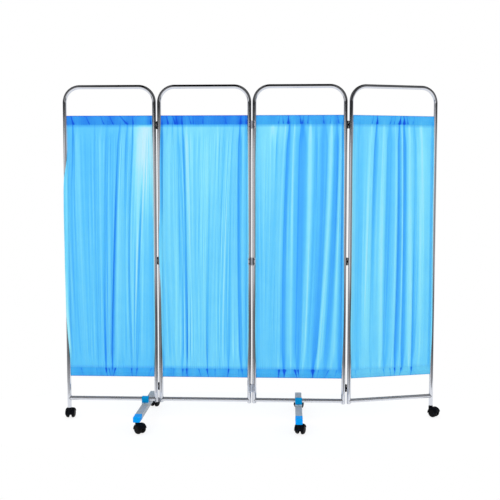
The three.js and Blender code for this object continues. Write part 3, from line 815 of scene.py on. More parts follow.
class SCREEN_OT_frames(Operator):
    """Make the four bent frame tubes"""

    bl_idname = "ward_screen.frames"
    bl_label = "Frames"

    def execute(self, context):
        tube = settings("tube")
        radius, half = tube.diameter / 2, tube.spacing / 2
        top = tube.height - radius
        ends = {number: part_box(f"panel_{number}_frame")[0].z for number in PANELS}
        for number in PANELS:
            left = ends[number if number == 1 else 2]
            right = ends[number if number == 4 else 2]
            path = filleted(
                [(-half, 0.0, left), (-half, 0.0, top), (half, 0.0, top), (half, 0.0, right)],
                tube.corner, 24, closed=False)
            grid = pipe(circle(radius, tube.sides), circle(radius - tube.wall, tube.sides), path,
                        (0.0, 1.0, 0.0))
            Shell().add(panel_place(number)(grid), closed_rows=True).dress(
                f"panel_{number}_bent_tube", "chrome", f"panel_{number}", "chrome_tube",
                f"panel_{number}_frame")
        return {"FINISHED"}


class SCREEN_OT_rails(Operator):
    """Make the rails between the legs and their welds"""

    bl_idname = "ward_screen.rails"
    bl_label = "Rails"

    def execute(self, context):
        tube = settings("tube")
        for number in PANELS:
            place, body = panel_place(number), f"panel_{number}"
            Shell().add(place(rail_grid(tube)), closed_rows=True).dress(
                f"{body}_bottom_rail", "satin", body, "chrome_tube", f"{body}_rail")
            beads = Shell()
            for side in SIDES:
                beads.add(place(weld_grid(tube, side)), closed_rows=True)
            beads.dress(f"{body}_rail_welds", "zinc", body, "chrome_tube", smooth_degrees=60)
        return {"FINISHED"}


def rail_end(tube, angle, radius):
    """Distance from the middle at which a rail of a radius meets a leg: half the leg spacing less
    the square root of (leg radius^2 - y^2), with y = radius times the angle's cosine."""
    leg = tube.diameter / 2
    return tube.spacing / 2 - np.sqrt(np.maximum(leg**2 - (radius * np.cos(angle)) ** 2, 0.0))


def rail_grid(tube):
    """A pipe along X whose ends follow the legs: x runs evenly from end to end at each angle,
    outside, and back along the bore."""
    radius, angle = tube.diameter / 2, angles(tube.sides)
    share = np.linspace(-1.0, 1.0, 25)[:, None]
    outer, bore = (
        np.stack(np.broadcast_arrays(
            share * rail_end(tube, angle, size), size * np.cos(angle),
            tube.rail + size * np.sin(angle)), -1)
        for size in (radius, radius - tube.wall))
    return np.concatenate([outer, bore[::-1]])


def weld_grid(tube, side):
    """A bead round a rail's end: a small circle carried round the saddle curve, its radius
    swelling with the sine of an even number of ripples."""
    ripples, steps_each, swell = 26, 6, 0.16
    angle, radius = angles(ripples * steps_each), tube.diameter / 2
    x = side * rail_end(tube, angle, radius)
    centre = np.stack([x, radius * np.cos(angle), tube.rail + radius * np.sin(angle)], -1)
    size = tube.weld * (1 + swell * np.sin(ripples * angle))
    outward = np.stack([0.0 * angle, np.cos(angle), np.sin(angle)], -1)
    ring = circle(1.0, 10)[None]
    spread = ring[..., :1] * outward[:, None] + ring[..., 1:] * [float(side), 0.0, 0.0]
    return centre[:, None] + size[:, None, None] * spread


class SCREEN_OT_rods(Operator):
    """Make the eight curtain rods"""

    bl_idname = "ward_screen.rods"
    bl_label = "Rods"

    def execute(self, context):
        tube = settings("tube")
        radius = tube.rod / 2
        reach = (tube.spacing - tube.diameter) / 2 + radius
        bar = drum(radius, -reach, reach, radius / 4, 4, 24)
        for number in PANELS:
            for level in ("upper", "lower"):
                node = f"panel_{number}_{level}_rod"
                low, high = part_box(node)
                grid = faced(bar, TO_RIGHT, (0.0, 0.0, (low.z + high.z) / 2))
                Shell().add(panel_place(number)(grid), poles=True).dress(
                    f"panel_{number}_{level}_steel_rod", "zinc", f"panel_{number}", "rod_steel",
                    node)
        return {"FINISHED"}


class SCREEN_OT_plugs(Operator):
    """Make the plugs in the open ends of the inner legs"""

    bl_idname = "ward_screen.plugs"
    bl_label = "Leg end plugs"

    def execute(self, context):
        tube = settings("tube")
        radius, bore = tube.diameter / 2, 0.99 * (tube.diameter / 2 - tube.wall)
        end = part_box("panel_2_frame")[0].z
        rest, top = end - 0.0002, end + 0.016
        plug = lathe(
            [(0.0, end - tube.plug), (radius * 0.86, end - tube.plug * 0.8),
             (radius * 0.99, rest), (bore, rest), (bore, top), (0.0, top)],
            [0, 0.0016, 0.0007, 0.0001, 0.0008, 0], 4, 32)
        for number, sides in ((1, (1,)), (2, SIDES), (3, SIDES), (4, (-1,))):
            shell = Shell()
            for side in sides:
                grid = plug + [side * tube.spacing / 2, 0.0, 0.0]
                shell.add(panel_place(number)(grid), poles=True)
            shell.dress(f"panel_{number}_leg_plugs", "plug", f"panel_{number}", "foot_metal")
        return {"FINISHED"}


# Curtains

# The folds of each curtain from left to right. Places at the top, the middle and the bottom are
# shares of the width, then come the strengths at the top, the middle and the bottom, the width in
# metres and how far the fold leans over, as a share of its depth. A fold with strengths below
# zero is a ridge that stands forward, with painted light where more light comes through. The
# strengths also paint shade into the folds.
FOLDS = {
    1: [
        (0.066, 0.080, 0.140, 0.95, 0.15, 0.05, 0.007, 0.3),
        (0.120, 0.145, 0.190, -0.20, -0.30, -0.10, 0.010, 0.0),
        (0.325, 0.330, 0.330, 0.35, 0.25, 0.35, 0.005, 0.2),
        (0.407, 0.385, 0.375, -0.20, -0.30, -0.25, 0.009, 0.0),
        (0.480, 0.427, 0.425, 0.25, 0.60, 0.95, 0.008, 0.3),
        (0.515, 0.484, 0.455, -0.10, -0.30, -0.20, 0.006, 0.0),
        (0.637, 0.553, 0.496, 0.55, 1.00, 1.00, 0.007, -0.5),
        (0.665, 0.590, 0.560, -0.10, -0.40, -0.30, 0.008, 0.0),
        (0.720, 0.660, 0.632, 0.65, 0.25, 0.20, 0.010, 0.0),
        (0.781, 0.715, 0.742, 0.90, 0.50, 0.55, 0.005, 0.4),
        (0.934, 0.845, 0.793, 0.10, 0.45, 0.60, 0.006, 0.2),
        (0.975, 0.970, 0.965, 0.05, 0.20, 0.25, 0.010, 0.0),
    ],
    2: [
        (0.013, 0.012, 0.010, 0.80, 0.70, 0.50, 0.007, 0.0),
        (0.073, 0.056, 0.100, 0.30, 0.20, 0.15, 0.006, 0.0),
        (0.133, 0.120, 0.145, 0.50, 0.25, 0.20, 0.006, 0.2),
        (0.180, 0.224, 0.220, 0.30, 0.45, 0.55, 0.009, 0.1),
        (0.240, 0.277, 0.282, 0.75, 0.70, 0.75, 0.005, 0.5),
        (0.290, 0.312, 0.310, -0.30, -0.35, -0.20, 0.007, 0.0),
        (0.470, 0.416, 0.427, -0.20, -0.20, -0.20, 0.016, 0.0),
        (0.580, 0.544, 0.527, 0.15, 0.40, 0.80, 0.006, -0.3),
        (0.663, 0.616, 0.585, -0.30, -0.30, -0.25, 0.010, 0.0),
        (0.744, 0.680, 0.676, 0.20, 0.35, 0.35, 0.007, 0.0),
        (0.809, 0.736, 0.718, -0.15, -0.25, -0.20, 0.008, 0.0),
        (0.850, 0.792, 0.776, 0.35, 0.35, 0.70, 0.006, 0.0),
        (0.921, 0.907, 0.939, 0.90, 0.90, 0.80, 0.008, -0.2),
        (0.984, 0.979, 0.987, 0.50, 0.50, 0.40, 0.008, 0.0),
    ],
    3: [
        (0.020, 0.020, 0.020, 0.10, 0.20, 0.20, 0.010, 0.0),
        (0.190, 0.150, 0.120, -0.40, -0.25, -0.15, 0.016, 0.0),
        (0.260, 0.210, 0.170, 0.45, 0.25, 0.15, 0.009, 0.0),
        (0.345, 0.272, 0.256, -0.55, -0.60, -0.40, 0.007, 0.0),
        (0.390, 0.335, 0.325, 0.95, 0.80, 0.90, 0.011, -0.2),
        (0.445, 0.410, 0.405, -0.65, -0.60, -0.50, 0.008, 0.0),
        (0.535, 0.515, 0.485, 0.90, 0.85, 0.70, 0.020, 0.1),
        (0.625, 0.605, 0.540, -0.80, -0.75, -0.45, 0.012, 0.0),
        (0.690, 0.670, 0.605, 0.35, 0.40, 0.20, 0.009, 0.0),
        (0.780, 0.745, 0.655, 0.55, 0.70, 0.95, 0.020, 0.3),
        (0.872, 0.820, 0.710, -0.65, -0.60, -0.60, 0.014, 0.0),
        (0.930, 0.890, 0.800, 0.60, 0.60, 0.50, 0.013, 0.0),
        (0.970, 0.940, 0.870, -0.30, -0.55, -0.40, 0.008, 0.0),
        (0.990, 0.985, 0.975, 0.60, 0.80, 0.75, 0.010, 0.0),
    ],
    4: [
        (0.080, 0.080, 0.080, 0.30, 0.40, 0.40, 0.020, 0.0),
        (0.236, 0.170, 0.146, -0.40, -0.40, -0.10, 0.014, 0.0),
        (0.293, 0.255, 0.244, 1.00, 0.55, 0.30, 0.010, -0.2),
        (0.380, 0.354, 0.360, -0.40, -0.70, -0.50, 0.014, 0.0),
        (0.457, 0.452, 0.410, 0.50, 0.65, 0.60, 0.018, 0.0),
        (0.517, 0.536, 0.502, -0.40, -0.50, -0.40, 0.006, 0.0),
        (0.571, 0.586, 0.550, 1.00, 0.95, 0.95, 0.009, -0.3),
        (0.597, 0.620, 0.596, -0.60, -0.60, -0.30, 0.004, 0.0),
        (0.626, 0.652, 0.644, 0.95, 0.85, 0.90, 0.010, 0.3),
        (0.690, 0.714, 0.733, -0.55, -0.68, -0.60, 0.012, 0.0),
        (0.753, 0.790, 0.763, 0.40, 0.45, 0.85, 0.009, 0.2),
        (0.836, 0.870, 0.849, -0.50, -0.50, -0.30, 0.018, 0.0),
        (0.985, 0.985, 0.980, 0.30, 0.50, 0.35, 0.008, 0.0),
    ],
}

# How far each side edge swings out past its place at the rods, in metres, evenly spaced from the
# top to the bottom. Where it swings out the cloth passes in front of the leg.
EDGE_SWINGS = {
    1: ((0.001, 0.001, 0.004, 0.022, 0.025, 0.025, 0.024, 0.0235, 0.022, 0.020, 0.013, 0.004,
         0.001),
        (0.002, 0.006, 0.007, 0.007, 0.008, 0.008, 0.002)),
    2: ((0.002, 0.009, 0.011, 0.018, 0.009, 0.006, 0.002),
        (0.002, 0.006, 0.008, 0.009, 0.008, 0.008, 0.002)),
    3: ((0.002, 0.006, 0.006, 0.006, 0.006, 0.007, 0.002),
        (0.002, 0.007, 0.007, 0.008, 0.011, 0.010, 0.002)),
    4: ((0.002, 0.007, 0.006, 0.006, 0.007, 0.009, 0.002),
        (0.002, 0.004, 0.004, 0.005, 0.007, 0.008, 0.002)),
}

# Creases of the top and the bottom hem, shaped and painted as shade: place at the hem's outer
# edge, place at its seam and strength, places as shares of the width
HEM_CREASES = {
    1: ([(0.045, 0.080, 1.0), (0.220, 0.270, 0.5), (0.395, 0.440, 0.5), (0.500, 0.550, 0.5),
         (0.620, 0.720, 1.0), (0.770, 0.785, 0.5), (0.980, 0.985, 0.7)],
        [(0.150, 0.120, 0.3), (0.320, 0.310, 0.3), (0.440, 0.422, 1.0), (0.480, 0.455, 0.6),
         (0.510, 0.540, 0.9), (0.740, 0.730, 0.6), (0.785, 0.800, 0.6), (0.930, 0.970, 0.3)]),
    2: ([(0.060, 0.082, 0.9), (0.130, 0.165, 0.8), (0.170, 0.185, 1.0), (0.240, 0.240, 0.7),
         (0.320, 0.350, 0.4), (0.370, 0.375, 0.3), (0.490, 0.485, 0.35), (0.740, 0.760, 0.3),
         (0.930, 0.925, 0.9), (0.985, 0.990, 0.7)],
        [(0.120, 0.130, 0.3), (0.230, 0.235, 0.7), (0.285, 0.280, 0.9), (0.455, 0.420, 0.5),
         (0.540, 0.520, 0.9), (0.620, 0.620, 0.4), (0.765, 0.785, 0.8), (0.900, 0.900, 0.4),
         (0.950, 0.940, 0.4)]),
    3: ([(0.270, 0.250, 0.4), (0.300, 0.310, 0.5), (0.370, 0.365, 1.2), (0.500, 0.515, 0.8),
         (0.545, 0.530, 0.6), (0.600, 0.590, 0.5), (0.770, 0.780, 0.5), (0.860, 0.850, 0.4),
         (0.930, 0.955, 0.4)],
        [(0.260, 0.266, 1.1), (0.325, 0.332, 1.5), (0.480, 0.450, 1.1), (0.505, 0.490, 0.8),
         (0.665, 0.668, 1.5), (0.715, 0.735, 0.5), (0.800, 0.860, 0.5), (0.920, 0.950, 0.4)]),
    4: ([(0.245, 0.225, 0.5), (0.293, 0.292, 1.2), (0.475, 0.450, 0.4), (0.520, 0.500, 0.4),
         (0.590, 0.568, 1.5), (0.624, 0.630, 1.4), (0.660, 0.680, 0.6), (0.760, 0.735, 0.4)],
        [(0.060, 0.050, 0.3), (0.240, 0.235, 0.3), (0.420, 0.400, 0.5), (0.500, 0.485, 0.5),
         (0.545, 0.550, 0.9), (0.610, 0.635, 0.9), (0.755, 0.765, 0.9)]),
}

# How deep the colour is, in the single cloth and in the top and the bottom hem, where it paints
# the shade of the double cloth, and how strong the painted shade of the fine streaks is
CLOTH_TONES = {1: 0.03, 2: -0.09, 3: -0.01, 4: -0.07}
HEM_TONES = {1: (0.80, 0.49), 2: (0.88, 0.46), 3: (0.57, 0.45), 4: (0.43, 0.10)}
STREAKS = {1: 0.125, 2: 0.14, 3: 0.065, 4: 0.06}

# Painted light where light from behind comes through: place across, place down, their spreads
# and the strength
PAINTED_LIGHT_SPOTS = {
    1: [(0.93, 0.09, 0.15, 0.25, 0.62), (0.76, 0.50, 0.18, 0.36, 0.16)],
    2: [(0.45, 0.12, 0.28, 0.30, 0.10), (0.12, 0.50, 0.10, 0.50, 0.06)],
    3: [(0.10, 0.08, 0.18, 0.30, 0.16), (0.24, 0.03, 0.10, 0.06, 0.2)],
    4: [(0.18, 0.60, 0.10, 0.40, 0.10), (0.88, 0.25, 0.10, 0.30, 0.10)],
}

# Wavelength in metres and sideways drift of the rolling of the cloth, the patches of its streaks,
# the broad streaks, the fine streaks and the gathers
WAVES = ((0.085, 0.5), (0.16, 1.2), (0.021, 1.1), (0.010, 1.3), (0.012, 3.0))

# How many sines make each of these up, and what their sum is divided by
SINES, SINES_LEVEL = 8, 2.8


class Curtain:
    """One gathered curtain as arrays over rows down the sheet and columns across it. Heights,
    sides and places down are columns of values, one for each row."""

    BACK, FRONT = 1, -1

    def __init__(self, number, size, tube):
        self.number, self.size, self.tube = number, size, tube
        self.folds = np.array(FOLDS[number])
        self.centres = self.folds[:, :3].mean(1)
        random = np.random.default_rng(40 + number)
        kinds = (len(WAVES), SINES)
        self.phases = random.uniform(0.0, TURN, kinds)
        self.lengths = random.uniform(0.7, 1.35, kinds)
        self.leans = random.uniform(-1.0, 1.0, kinds)
        self.column = self.columns()

    def columns(self, count=356):
        """Shares of the cloth's width, closer together in the folds and at the side edges: the
        inverse of the running sum of 1 plus a bell at each of them."""
        even = np.linspace(0.0, 1.0, 4001)
        widths = self.folds[:, 6] / self.size.width
        density = 1.0 + 0.9 * bump(even[:, None], self.centres, 1.4 * widths).sum(1)
        density += 1.5 * (bump(even, 0.0, 0.02) + bump(even, 1.0, 0.02))
        total = running((density[1:] + density[:-1]) / 2)
        return np.interp(np.linspace(0.0, 1.0, count), total / total[-1], even)

    def rows(self):
        """Heights and sides down the sheet: up the back of the top hem, over its edge, down the
        front to the bottom edge and up the back of the bottom hem."""
        top, bottom, hem = self.size.top, self.size.bottom, self.size.hem
        past_seam = hem + 0.001
        share = np.linspace(0.0, 1.0, 76)
        graded = share - 0.20 * np.sin(TURN * share) / TURN
        parts = (
            (np.linspace(top - past_seam, top, 10)[:-1], self.BACK),
            ([top], 0),
            (np.linspace(top, top - hem, 16)[1:-1], self.FRONT),
            ((top - hem) + (bottom - top + 2 * hem) * graded, self.FRONT),
            (np.linspace(bottom + hem, bottom, 16)[1:-1], self.FRONT),
            ([bottom], 0),
            (np.linspace(bottom, bottom + past_seam, 10)[1:], self.BACK),
        )
        sides = [np.full(len(heights), side) for heights, side in parts]
        return np.concatenate([heights for heights, _ in parts]), np.concatenate(sides)

    def at(self, values, down):
        """Three values at the top, the middle and the bottom, joined by a parabola."""
        top, middle, bottom = values.T
        return (top * (1 - down) * (1 - 2 * down) + 4 * middle * down * (1 - down)
                + bottom * down * (2 * down - 1))

    def across(self, down, column):
        """Place of each column across the curtain: straight lines between the folds' places, so
        that the cloth's threads run with the folds."""
        anchors = np.concatenate([[0.0], self.centres, [1.0]])
        ends = np.zeros((len(down), 1))
        places = np.hstack([ends, self.at(self.folds[:, :3], down), ends + 1.0])
        step = np.clip(np.searchsorted(anchors, column, side="right") - 1, 0, len(anchors) - 2)
        share = (column - anchors[step]) / (anchors[step + 1] - anchors[step])
        return places[:, step] * (1 - share) + places[:, step + 1] * share

    def waves(self, kind, column, height):
        """A sum of sines across the cloth, each with its own length and phase, that lean
        sideways either way as they go down."""
        wavelength, drift = WAVES[kind]
        total = 0.0
        for phase, stretch, lean in zip(self.phases[kind], self.lengths[kind], self.leans[kind]):
            turns = column * self.size.width / (wavelength * stretch)
            total = total + np.sin(TURN * (turns + drift * height * lean) + phase)
        return total / SINES_LEVEL

    def hem_creases(self, down, from_edge, x_share):
        """Creases that run from a place at a hem's outer edge to one at its seam, where each is
        deepest: bells across the cloth. They shape the hems a little and paint shade into them."""
        into_hem = np.clip(from_edge / self.size.hem, 0.0, 1.0)
        pinched = 0.35 + 0.4 * into_hem + 0.7 * bump(into_hem, 1.0, 0.3)
        total = np.zeros(x_share.shape)
        for hem, creases in enumerate(HEM_CREASES[self.number]):
            here = (down > 0.5) == bool(hem)
            for at_edge, at_seam, strength in creases:
                centre = at_edge + (at_seam - at_edge) * into_hem
                width = (0.0019 + 0.0030 * (strength * into_hem) ** 2) / self.size.width
                total += here * strength * pinched * (
                    bump(x_share, centre, width) + 0.10 * bump(x_share, centre, 3.4 * width))
        return total

    def folded(self, down, column, open_share):
        """Depth, sideways lean and shade of the folds: bells across the cloth, exp(-|offset|^1.7),
        narrower in the hems, with a crisp shadow on one flank of each. Their sum is rounded off
        by the hyperbolic tangent, and ridges stand out less than folds."""
        strengths = self.at(self.folds[:, 3:6], down)
        valley, lean, shade = np.zeros((3, len(down), len(column)))
        for k, (*_, full_width, leaning) in enumerate(self.folds):
            strength = strengths[:, k:k + 1]
            width = full_width * (0.55 + 0.45 * open_share) / self.size.width
            offset = (column - self.centres[k]) / width
            bell = strength * np.exp(-np.abs(offset) ** 1.7)
            valley += bell
            lean += bell * leaning
            deep = np.sign(strength) * np.abs(strength) ** 1.5
            shade += deep * np.exp(-np.abs(offset * 1.1) ** 2.2) * (
                np.where(strength > 0, 0.44, 0.48) + 0.2 * (1 - open_share))
            flank = 0.75 if k % 2 else -0.75
            shade += np.maximum(deep, 0.0) * 0.34 * bump(offset, flank, 0.0028 / full_width)
        valley = np.tanh(valley)
        return np.where(valley > 0, valley, 0.35 * valley), lean, shade

    def layered(self, middle, side, from_edge, in_hem, gather):
        """Depth of a hem's front and back layers, which part round the rod, meet at the stitches
        and at the edge, and ripple on their own. Past the stitches the front is single cloth."""
        to_rod = from_edge - self.size.pocket
        pocket = 0.0009 + 0.0037 * bump(to_rod, 0.0, 0.0125)
        rounded = np.sqrt(np.clip(from_edge / 0.0035, 0.0, 1.0))
        stitched = smooth((from_edge - (self.size.hem - 0.007)) / 0.006)
        part = pocket * rounded * (1 - stitched) + 0.00055 * stitched
        front = side < 0
        part = np.where(front, part * (1 - smooth((from_edge - self.size.hem) / 0.004)), part)
        ripple = 0.5 + 0.5 * np.sin(1.6 * gather + np.where(front, 0.0, 2.0))
        part = part + in_hem * 0.0008 * ripple * np.abs(side)
        return middle + side * part - 0.72 * middle * bump(to_rod, 0.0, 0.012) * in_hem

    def edged(self, x_share, down, lean):
        """Places across in metres, and distances from the nearer side edge. What an edge swings
        out fades within a tenth of the width."""
        half, fade = self.size.width / 2, 0.05
        out_left, out_right = (
            smooth_through(down, np.array(swings)) for swings in EDGE_SWINGS[self.number])
        x = self.size.width * (x_share - 0.5)
        x = x - out_left * np.exp(-x_share / fade) + out_right * np.exp((x_share - 1) / fade)
        x = x + lean
        return x, np.minimum(x + half + out_left, half + out_right - x)

    def surface(self, height, side, column):
        """Points, depth of colour, which carries painted light and shade, and share that covers a
        leg, for rows of (height, side) and columns."""
        size, tube = self.size, self.tube
        height, side = (np.asarray(values, float)[:, None] for values in (height, side))
        column = np.asarray(column, float)
        down = (size.top - height) / (size.top - size.bottom)
        from_edge = np.minimum(size.top - height, height - size.bottom)
        into_body = np.minimum(size.top - size.hem - height, height - size.bottom - size.hem)
        in_body = into_body > 0
        x_share = self.across(down, column)

        # Folds open out below a hem and are pinched in it
        open_share = smooth(into_body / 0.12)
        in_hem = smooth(-into_body / 0.012)
        pinch = np.where(in_body, 1.0, smooth(1 + into_body / (0.8 * size.hem)))
        lift = np.where(in_body, 0.25 + 0.75 * smooth(into_body / 0.10), 0.25 * pinch)
        valley, lean, shade = self.folded(down, column, open_share)
        creases = self.hem_creases(down, from_edge, x_share) * in_hem
        rolling, patches, broad, fine, gather = (
            self.waves(kind, column, height) for kind in range(len(WAVES)))
        patches = 0.65 + 0.35 * patches
        streaks = patches * (broad + 0.7 * fine)

        middle = lift * (size.depth * valley - size.forward + 0.0018 * rolling)
        middle += 0.0005 * streaks * open_share + 0.0004 * gather * (1 - open_share)
        middle += 0.0010 * creases
        y = self.layered(middle, side, from_edge, in_hem, gather)
        x, from_side = self.edged(x_share, down, size.depth * lean * lift * (1 - in_hem))
        seam = smooth((size.seam - from_side) / 0.0012) * (1 - in_hem)
        y = y - 0.0004 * seam

        # Over a leg the cloth lies on the tube's front
        leg = np.abs(x) - tube.spacing / 2
        clear = tube.diameter / 2 + 0.0012
        round_leg = np.sqrt(np.maximum(clear**2 - leg**2, 0.0))
        y = np.where(np.abs(leg) < clear, np.minimum(y, -round_leg), y)

        # Painted shade and light: the folds' shade, the ridges' light, and darker colour where the
        # cloth rolls back and along the streaks
        depth = CLOTH_TONES[self.number] + shade * np.where(in_body, 1.0, pinch)
        depth += 0.05 * rolling * open_share + STREAKS[self.number] * streaks * open_share
        # In the hems: painted shade of the double cloth, its creases, gathers and folds
        upper = down < 0.5
        tone = np.where(upper, *HEM_TONES[self.number])
        hem_depth = tone + 0.04 + 1.3 * creases + 0.02 * gather + 0.06 * rolling + 0.06 * patches
        hem_depth += np.where(upper, 0.5, 0.7) * shade * pinch
        hem_share = smooth((size.hem - from_edge) / 0.002 + 0.5)
        depth = np.maximum(depth, -0.36) * (1 - hem_share) + hem_depth * hem_share
        # Painted shade along the side seams and a painted dark line along the hems' outer edges
        depth += 0.05 * seam + 0.4 * smooth((0.005 - from_edge) / 0.004)
        # Painted light spots where light from behind comes through
        for spot_x, spot_down, wide, high, strength in PAINTED_LIGHT_SPOTS[self.number]:
            spot = bump(x_share, spot_x, wide) * bump(down, spot_down, high)
            depth -= strength * spot * (1 - 0.8 * hem_share)
        covers = np.maximum(smooth((clear - np.abs(leg)) / 0.002), 0.75 * hem_share)
        return np.stack(np.broadcast_arrays(x, y, height), -1), depth, covers

    def hem_line(self, height, side):
        """A line of stitches across a hem, proud of the cloth's face."""
        line = self.surface([height], [side], np.linspace(0.012, 0.988, 1600))[0][0]
        return self.proud(line, side)

    def seam_line(self, edge, side):
        """A line of stitches down a side seam."""
        size = self.size
        heights = np.linspace(size.top - size.hem, size.bottom + size.hem, 1600)
        column = [abs(edge - size.seam * 0.75 / size.width)]
        line = self.surface(heights, np.full(len(heights), self.FRONT), column)[0][:, 0]
        return self.proud(line, side)

    def proud(self, line, side):
        """A line lifted off the middle of the cloth to just above one face."""
        return line + [0.0, side * (self.size.cloth / 2 + 0.0001), 0.0]


def smooth_through(share, values):
    """Values at even places joined by a cubic through each, whose slope at a place is half the
    difference of its neighbours."""
    places = np.linspace(0.0, 1.0, len(values))
    step = np.clip(np.searchsorted(places, share, side="right") - 1, 0, len(places) - 2)
    part = (share - places[step]) / (places[step + 1] - places[step])
    before, first, last, after = (
        values[np.clip(step + k, 0, len(values) - 1)] for k in (-1, 0, 1, 2))
    return first + 0.5 * part * (
        last - before + part * (2 * before - 5 * first + 4 * last - after
                                + part * (3 * (first - last) + after - before)))


class SCREEN_OT_curtains(Operator):
    """Make the four gathered curtains"""

    bl_idname = "ward_screen.curtains"
    bl_label = "Curtains"

    def execute(self, context):
        size, tube = settings("curtain"), settings("tube")
        for number in PANELS:
            curtain = Curtain(number, size, tube)
            points, depth, covers = curtain.surface(*curtain.rows(), curtain.column)
            down = running(spans(points).mean(1))
            quads = np.cross(np.diff(points, axis=0)[:, 1:], np.diff(points, axis=1)[1:])
            width = np.linalg.norm(quads, axis=-1).sum() / down[-1]
            places = np.stack(np.broadcast_arrays(
                width * curtain.column[None, :], down[:, None]), -1)
            shell = Shell().add(panel_place(number)(points), open_columns=True, places=places)
            thing = shell.mesh_piece(
                f"panel_{number}_cloth", material("cloth"), closed=False, smooth_degrees=180)
            point_attribute(thing.data, "depth", depth)
            point_attribute(thing.data, "covers", covers)
            wall = thing.modifiers.new("Cloth", "SOLIDIFY")
            wall.thickness = size.cloth
            wall.offset = 0.0
            finish_piece(thing, f"panel_{number}", "curtain_cloth", f"panel_{number}_curtain")
        return {"FINISHED"}


class SCREEN_OT_stitching(Operator):
    """Make the stitches of the hems and side seams"""

    bl_idname = "ward_screen.stitching"
    bl_label = "Stitching"

    def execute(self, context):
        size, tube = settings("curtain"), settings("tube")
        into_hem = size.hem - 0.003
        for number in PANELS:
            curtain = Curtain(number, size, tube)
            faces = (curtain.FRONT, curtain.BACK)
            lines = [curtain.hem_line(height, side)
                     for height in (size.top - into_hem, size.bottom + into_hem)
                     for side in faces]
            lines += [curtain.seam_line(edge, side) for edge in (0, 1) for side in faces]
            shell = Shell()
            for line in lines:
                stitches(shell, panel_place(number), line, size)
            shell.dress(f"panel_{number}_stitching", "thread", f"panel_{number}", "curtain_cloth",
                        closed=False, smooth_degrees=180)
        return {"FINISHED"}


def stitches(shell, place, line, size):
    """Short bars at even steps along a line, thick in the middle and closed at both ends."""
    total = running(spans(line))
    count = int(total[-1] / size.stitch)
    centres = (np.arange(count) + 0.5) * size.stitch
    reach = 0.36 * size.stitch

    def along(distances):
        """Points at distances along the line, straight between its own."""
        return np.stack([np.interp(distances, total, line[:, k]) for k in range(3)], -1)

    middle, start, end = along(centres), along(centres - reach), along(centres + reach)
    forward = unit(end - start)
    sideways = unit(np.cross(forward, [0.0, 1.0, 0.0]))
    outward = np.cross(sideways, forward)
    ring = circle(size.thread / 2, 5)[None]
    around = ring[..., :1] * sideways[:, None] + ring[..., 1:] * outward[:, None]
    rows = [(middle + forward * reach * share)[:, None] + swell * around
            for share, swell in ((-1.0, 0.35), (-0.6, 0.95), (0.6, 0.95), (1.0, 0.35))]
    grid = place(np.stack(rows, 1))
    index = shell.count + np.arange(grid[..., 0].size).reshape(grid.shape[:-1])
    following = np.roll(index, -1, 2)
    quads = np.stack([index[:, :-1], following[:, :-1], following[:, 1:], index[:, 1:]], -1)
    shell.extend(grid, np.zeros(index.size), quads, np.zeros((quads.size, 2)))
    for ends in (index[:, 0, ::-1], index[:, -1]):
        shell.extend(np.zeros((0, 3)), np.zeros(0), ends, np.zeros((ends.size, 2)))


# Hinges


class SCREEN_OT_hinges(Operator):
    """Make the nine butt hinges"""

    bl_idname = "ward_screen.hinges"
    bl_label = "Hinges"

    def execute(self, context):
        hinge, tube = settings("hinge"), settings("tube")
        for number, fold in ((1, "panel_1_fold"), (2, "panel_3_fold"), (3, "panel_4_fold")):
            pin, at_front = pivot(fold), number == 2
            behind = -1 if at_front else 1
            for level in ("top", "middle", "bottom"):
                # The front bottom hinge takes the lit copy of the hinge steel, painted pale, the
                # others the shaded copy, painted near black
                finish = "pale_hinge" if at_front and level == "bottom" else "dark_hinge"
                for side, word in zip(SIDES, ("left", "right")):
                    node = f"hinge_{number}_{number + 1}_{level}_{word}_leaf"
                    low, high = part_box(node)
                    panel = number if side < 0 else number + 1
                    place = Place(pin.x, pin.y, panel_place(panel).turn)
                    middle = [0.0, 0.0, (low.z + high.z) / 2]
                    shell = leaf_shell(hinge, tube, side < 0, float(at_front))
                    shell.moved(lambda grid: place(grid * [side, behind, 1.0] + middle))
                    shell.dress(node.replace("_leaf", "_plate"), finish, f"panel_{panel}",
                                "hinge_steel", node, flat_faces=True)
        return {"FINISHED"}


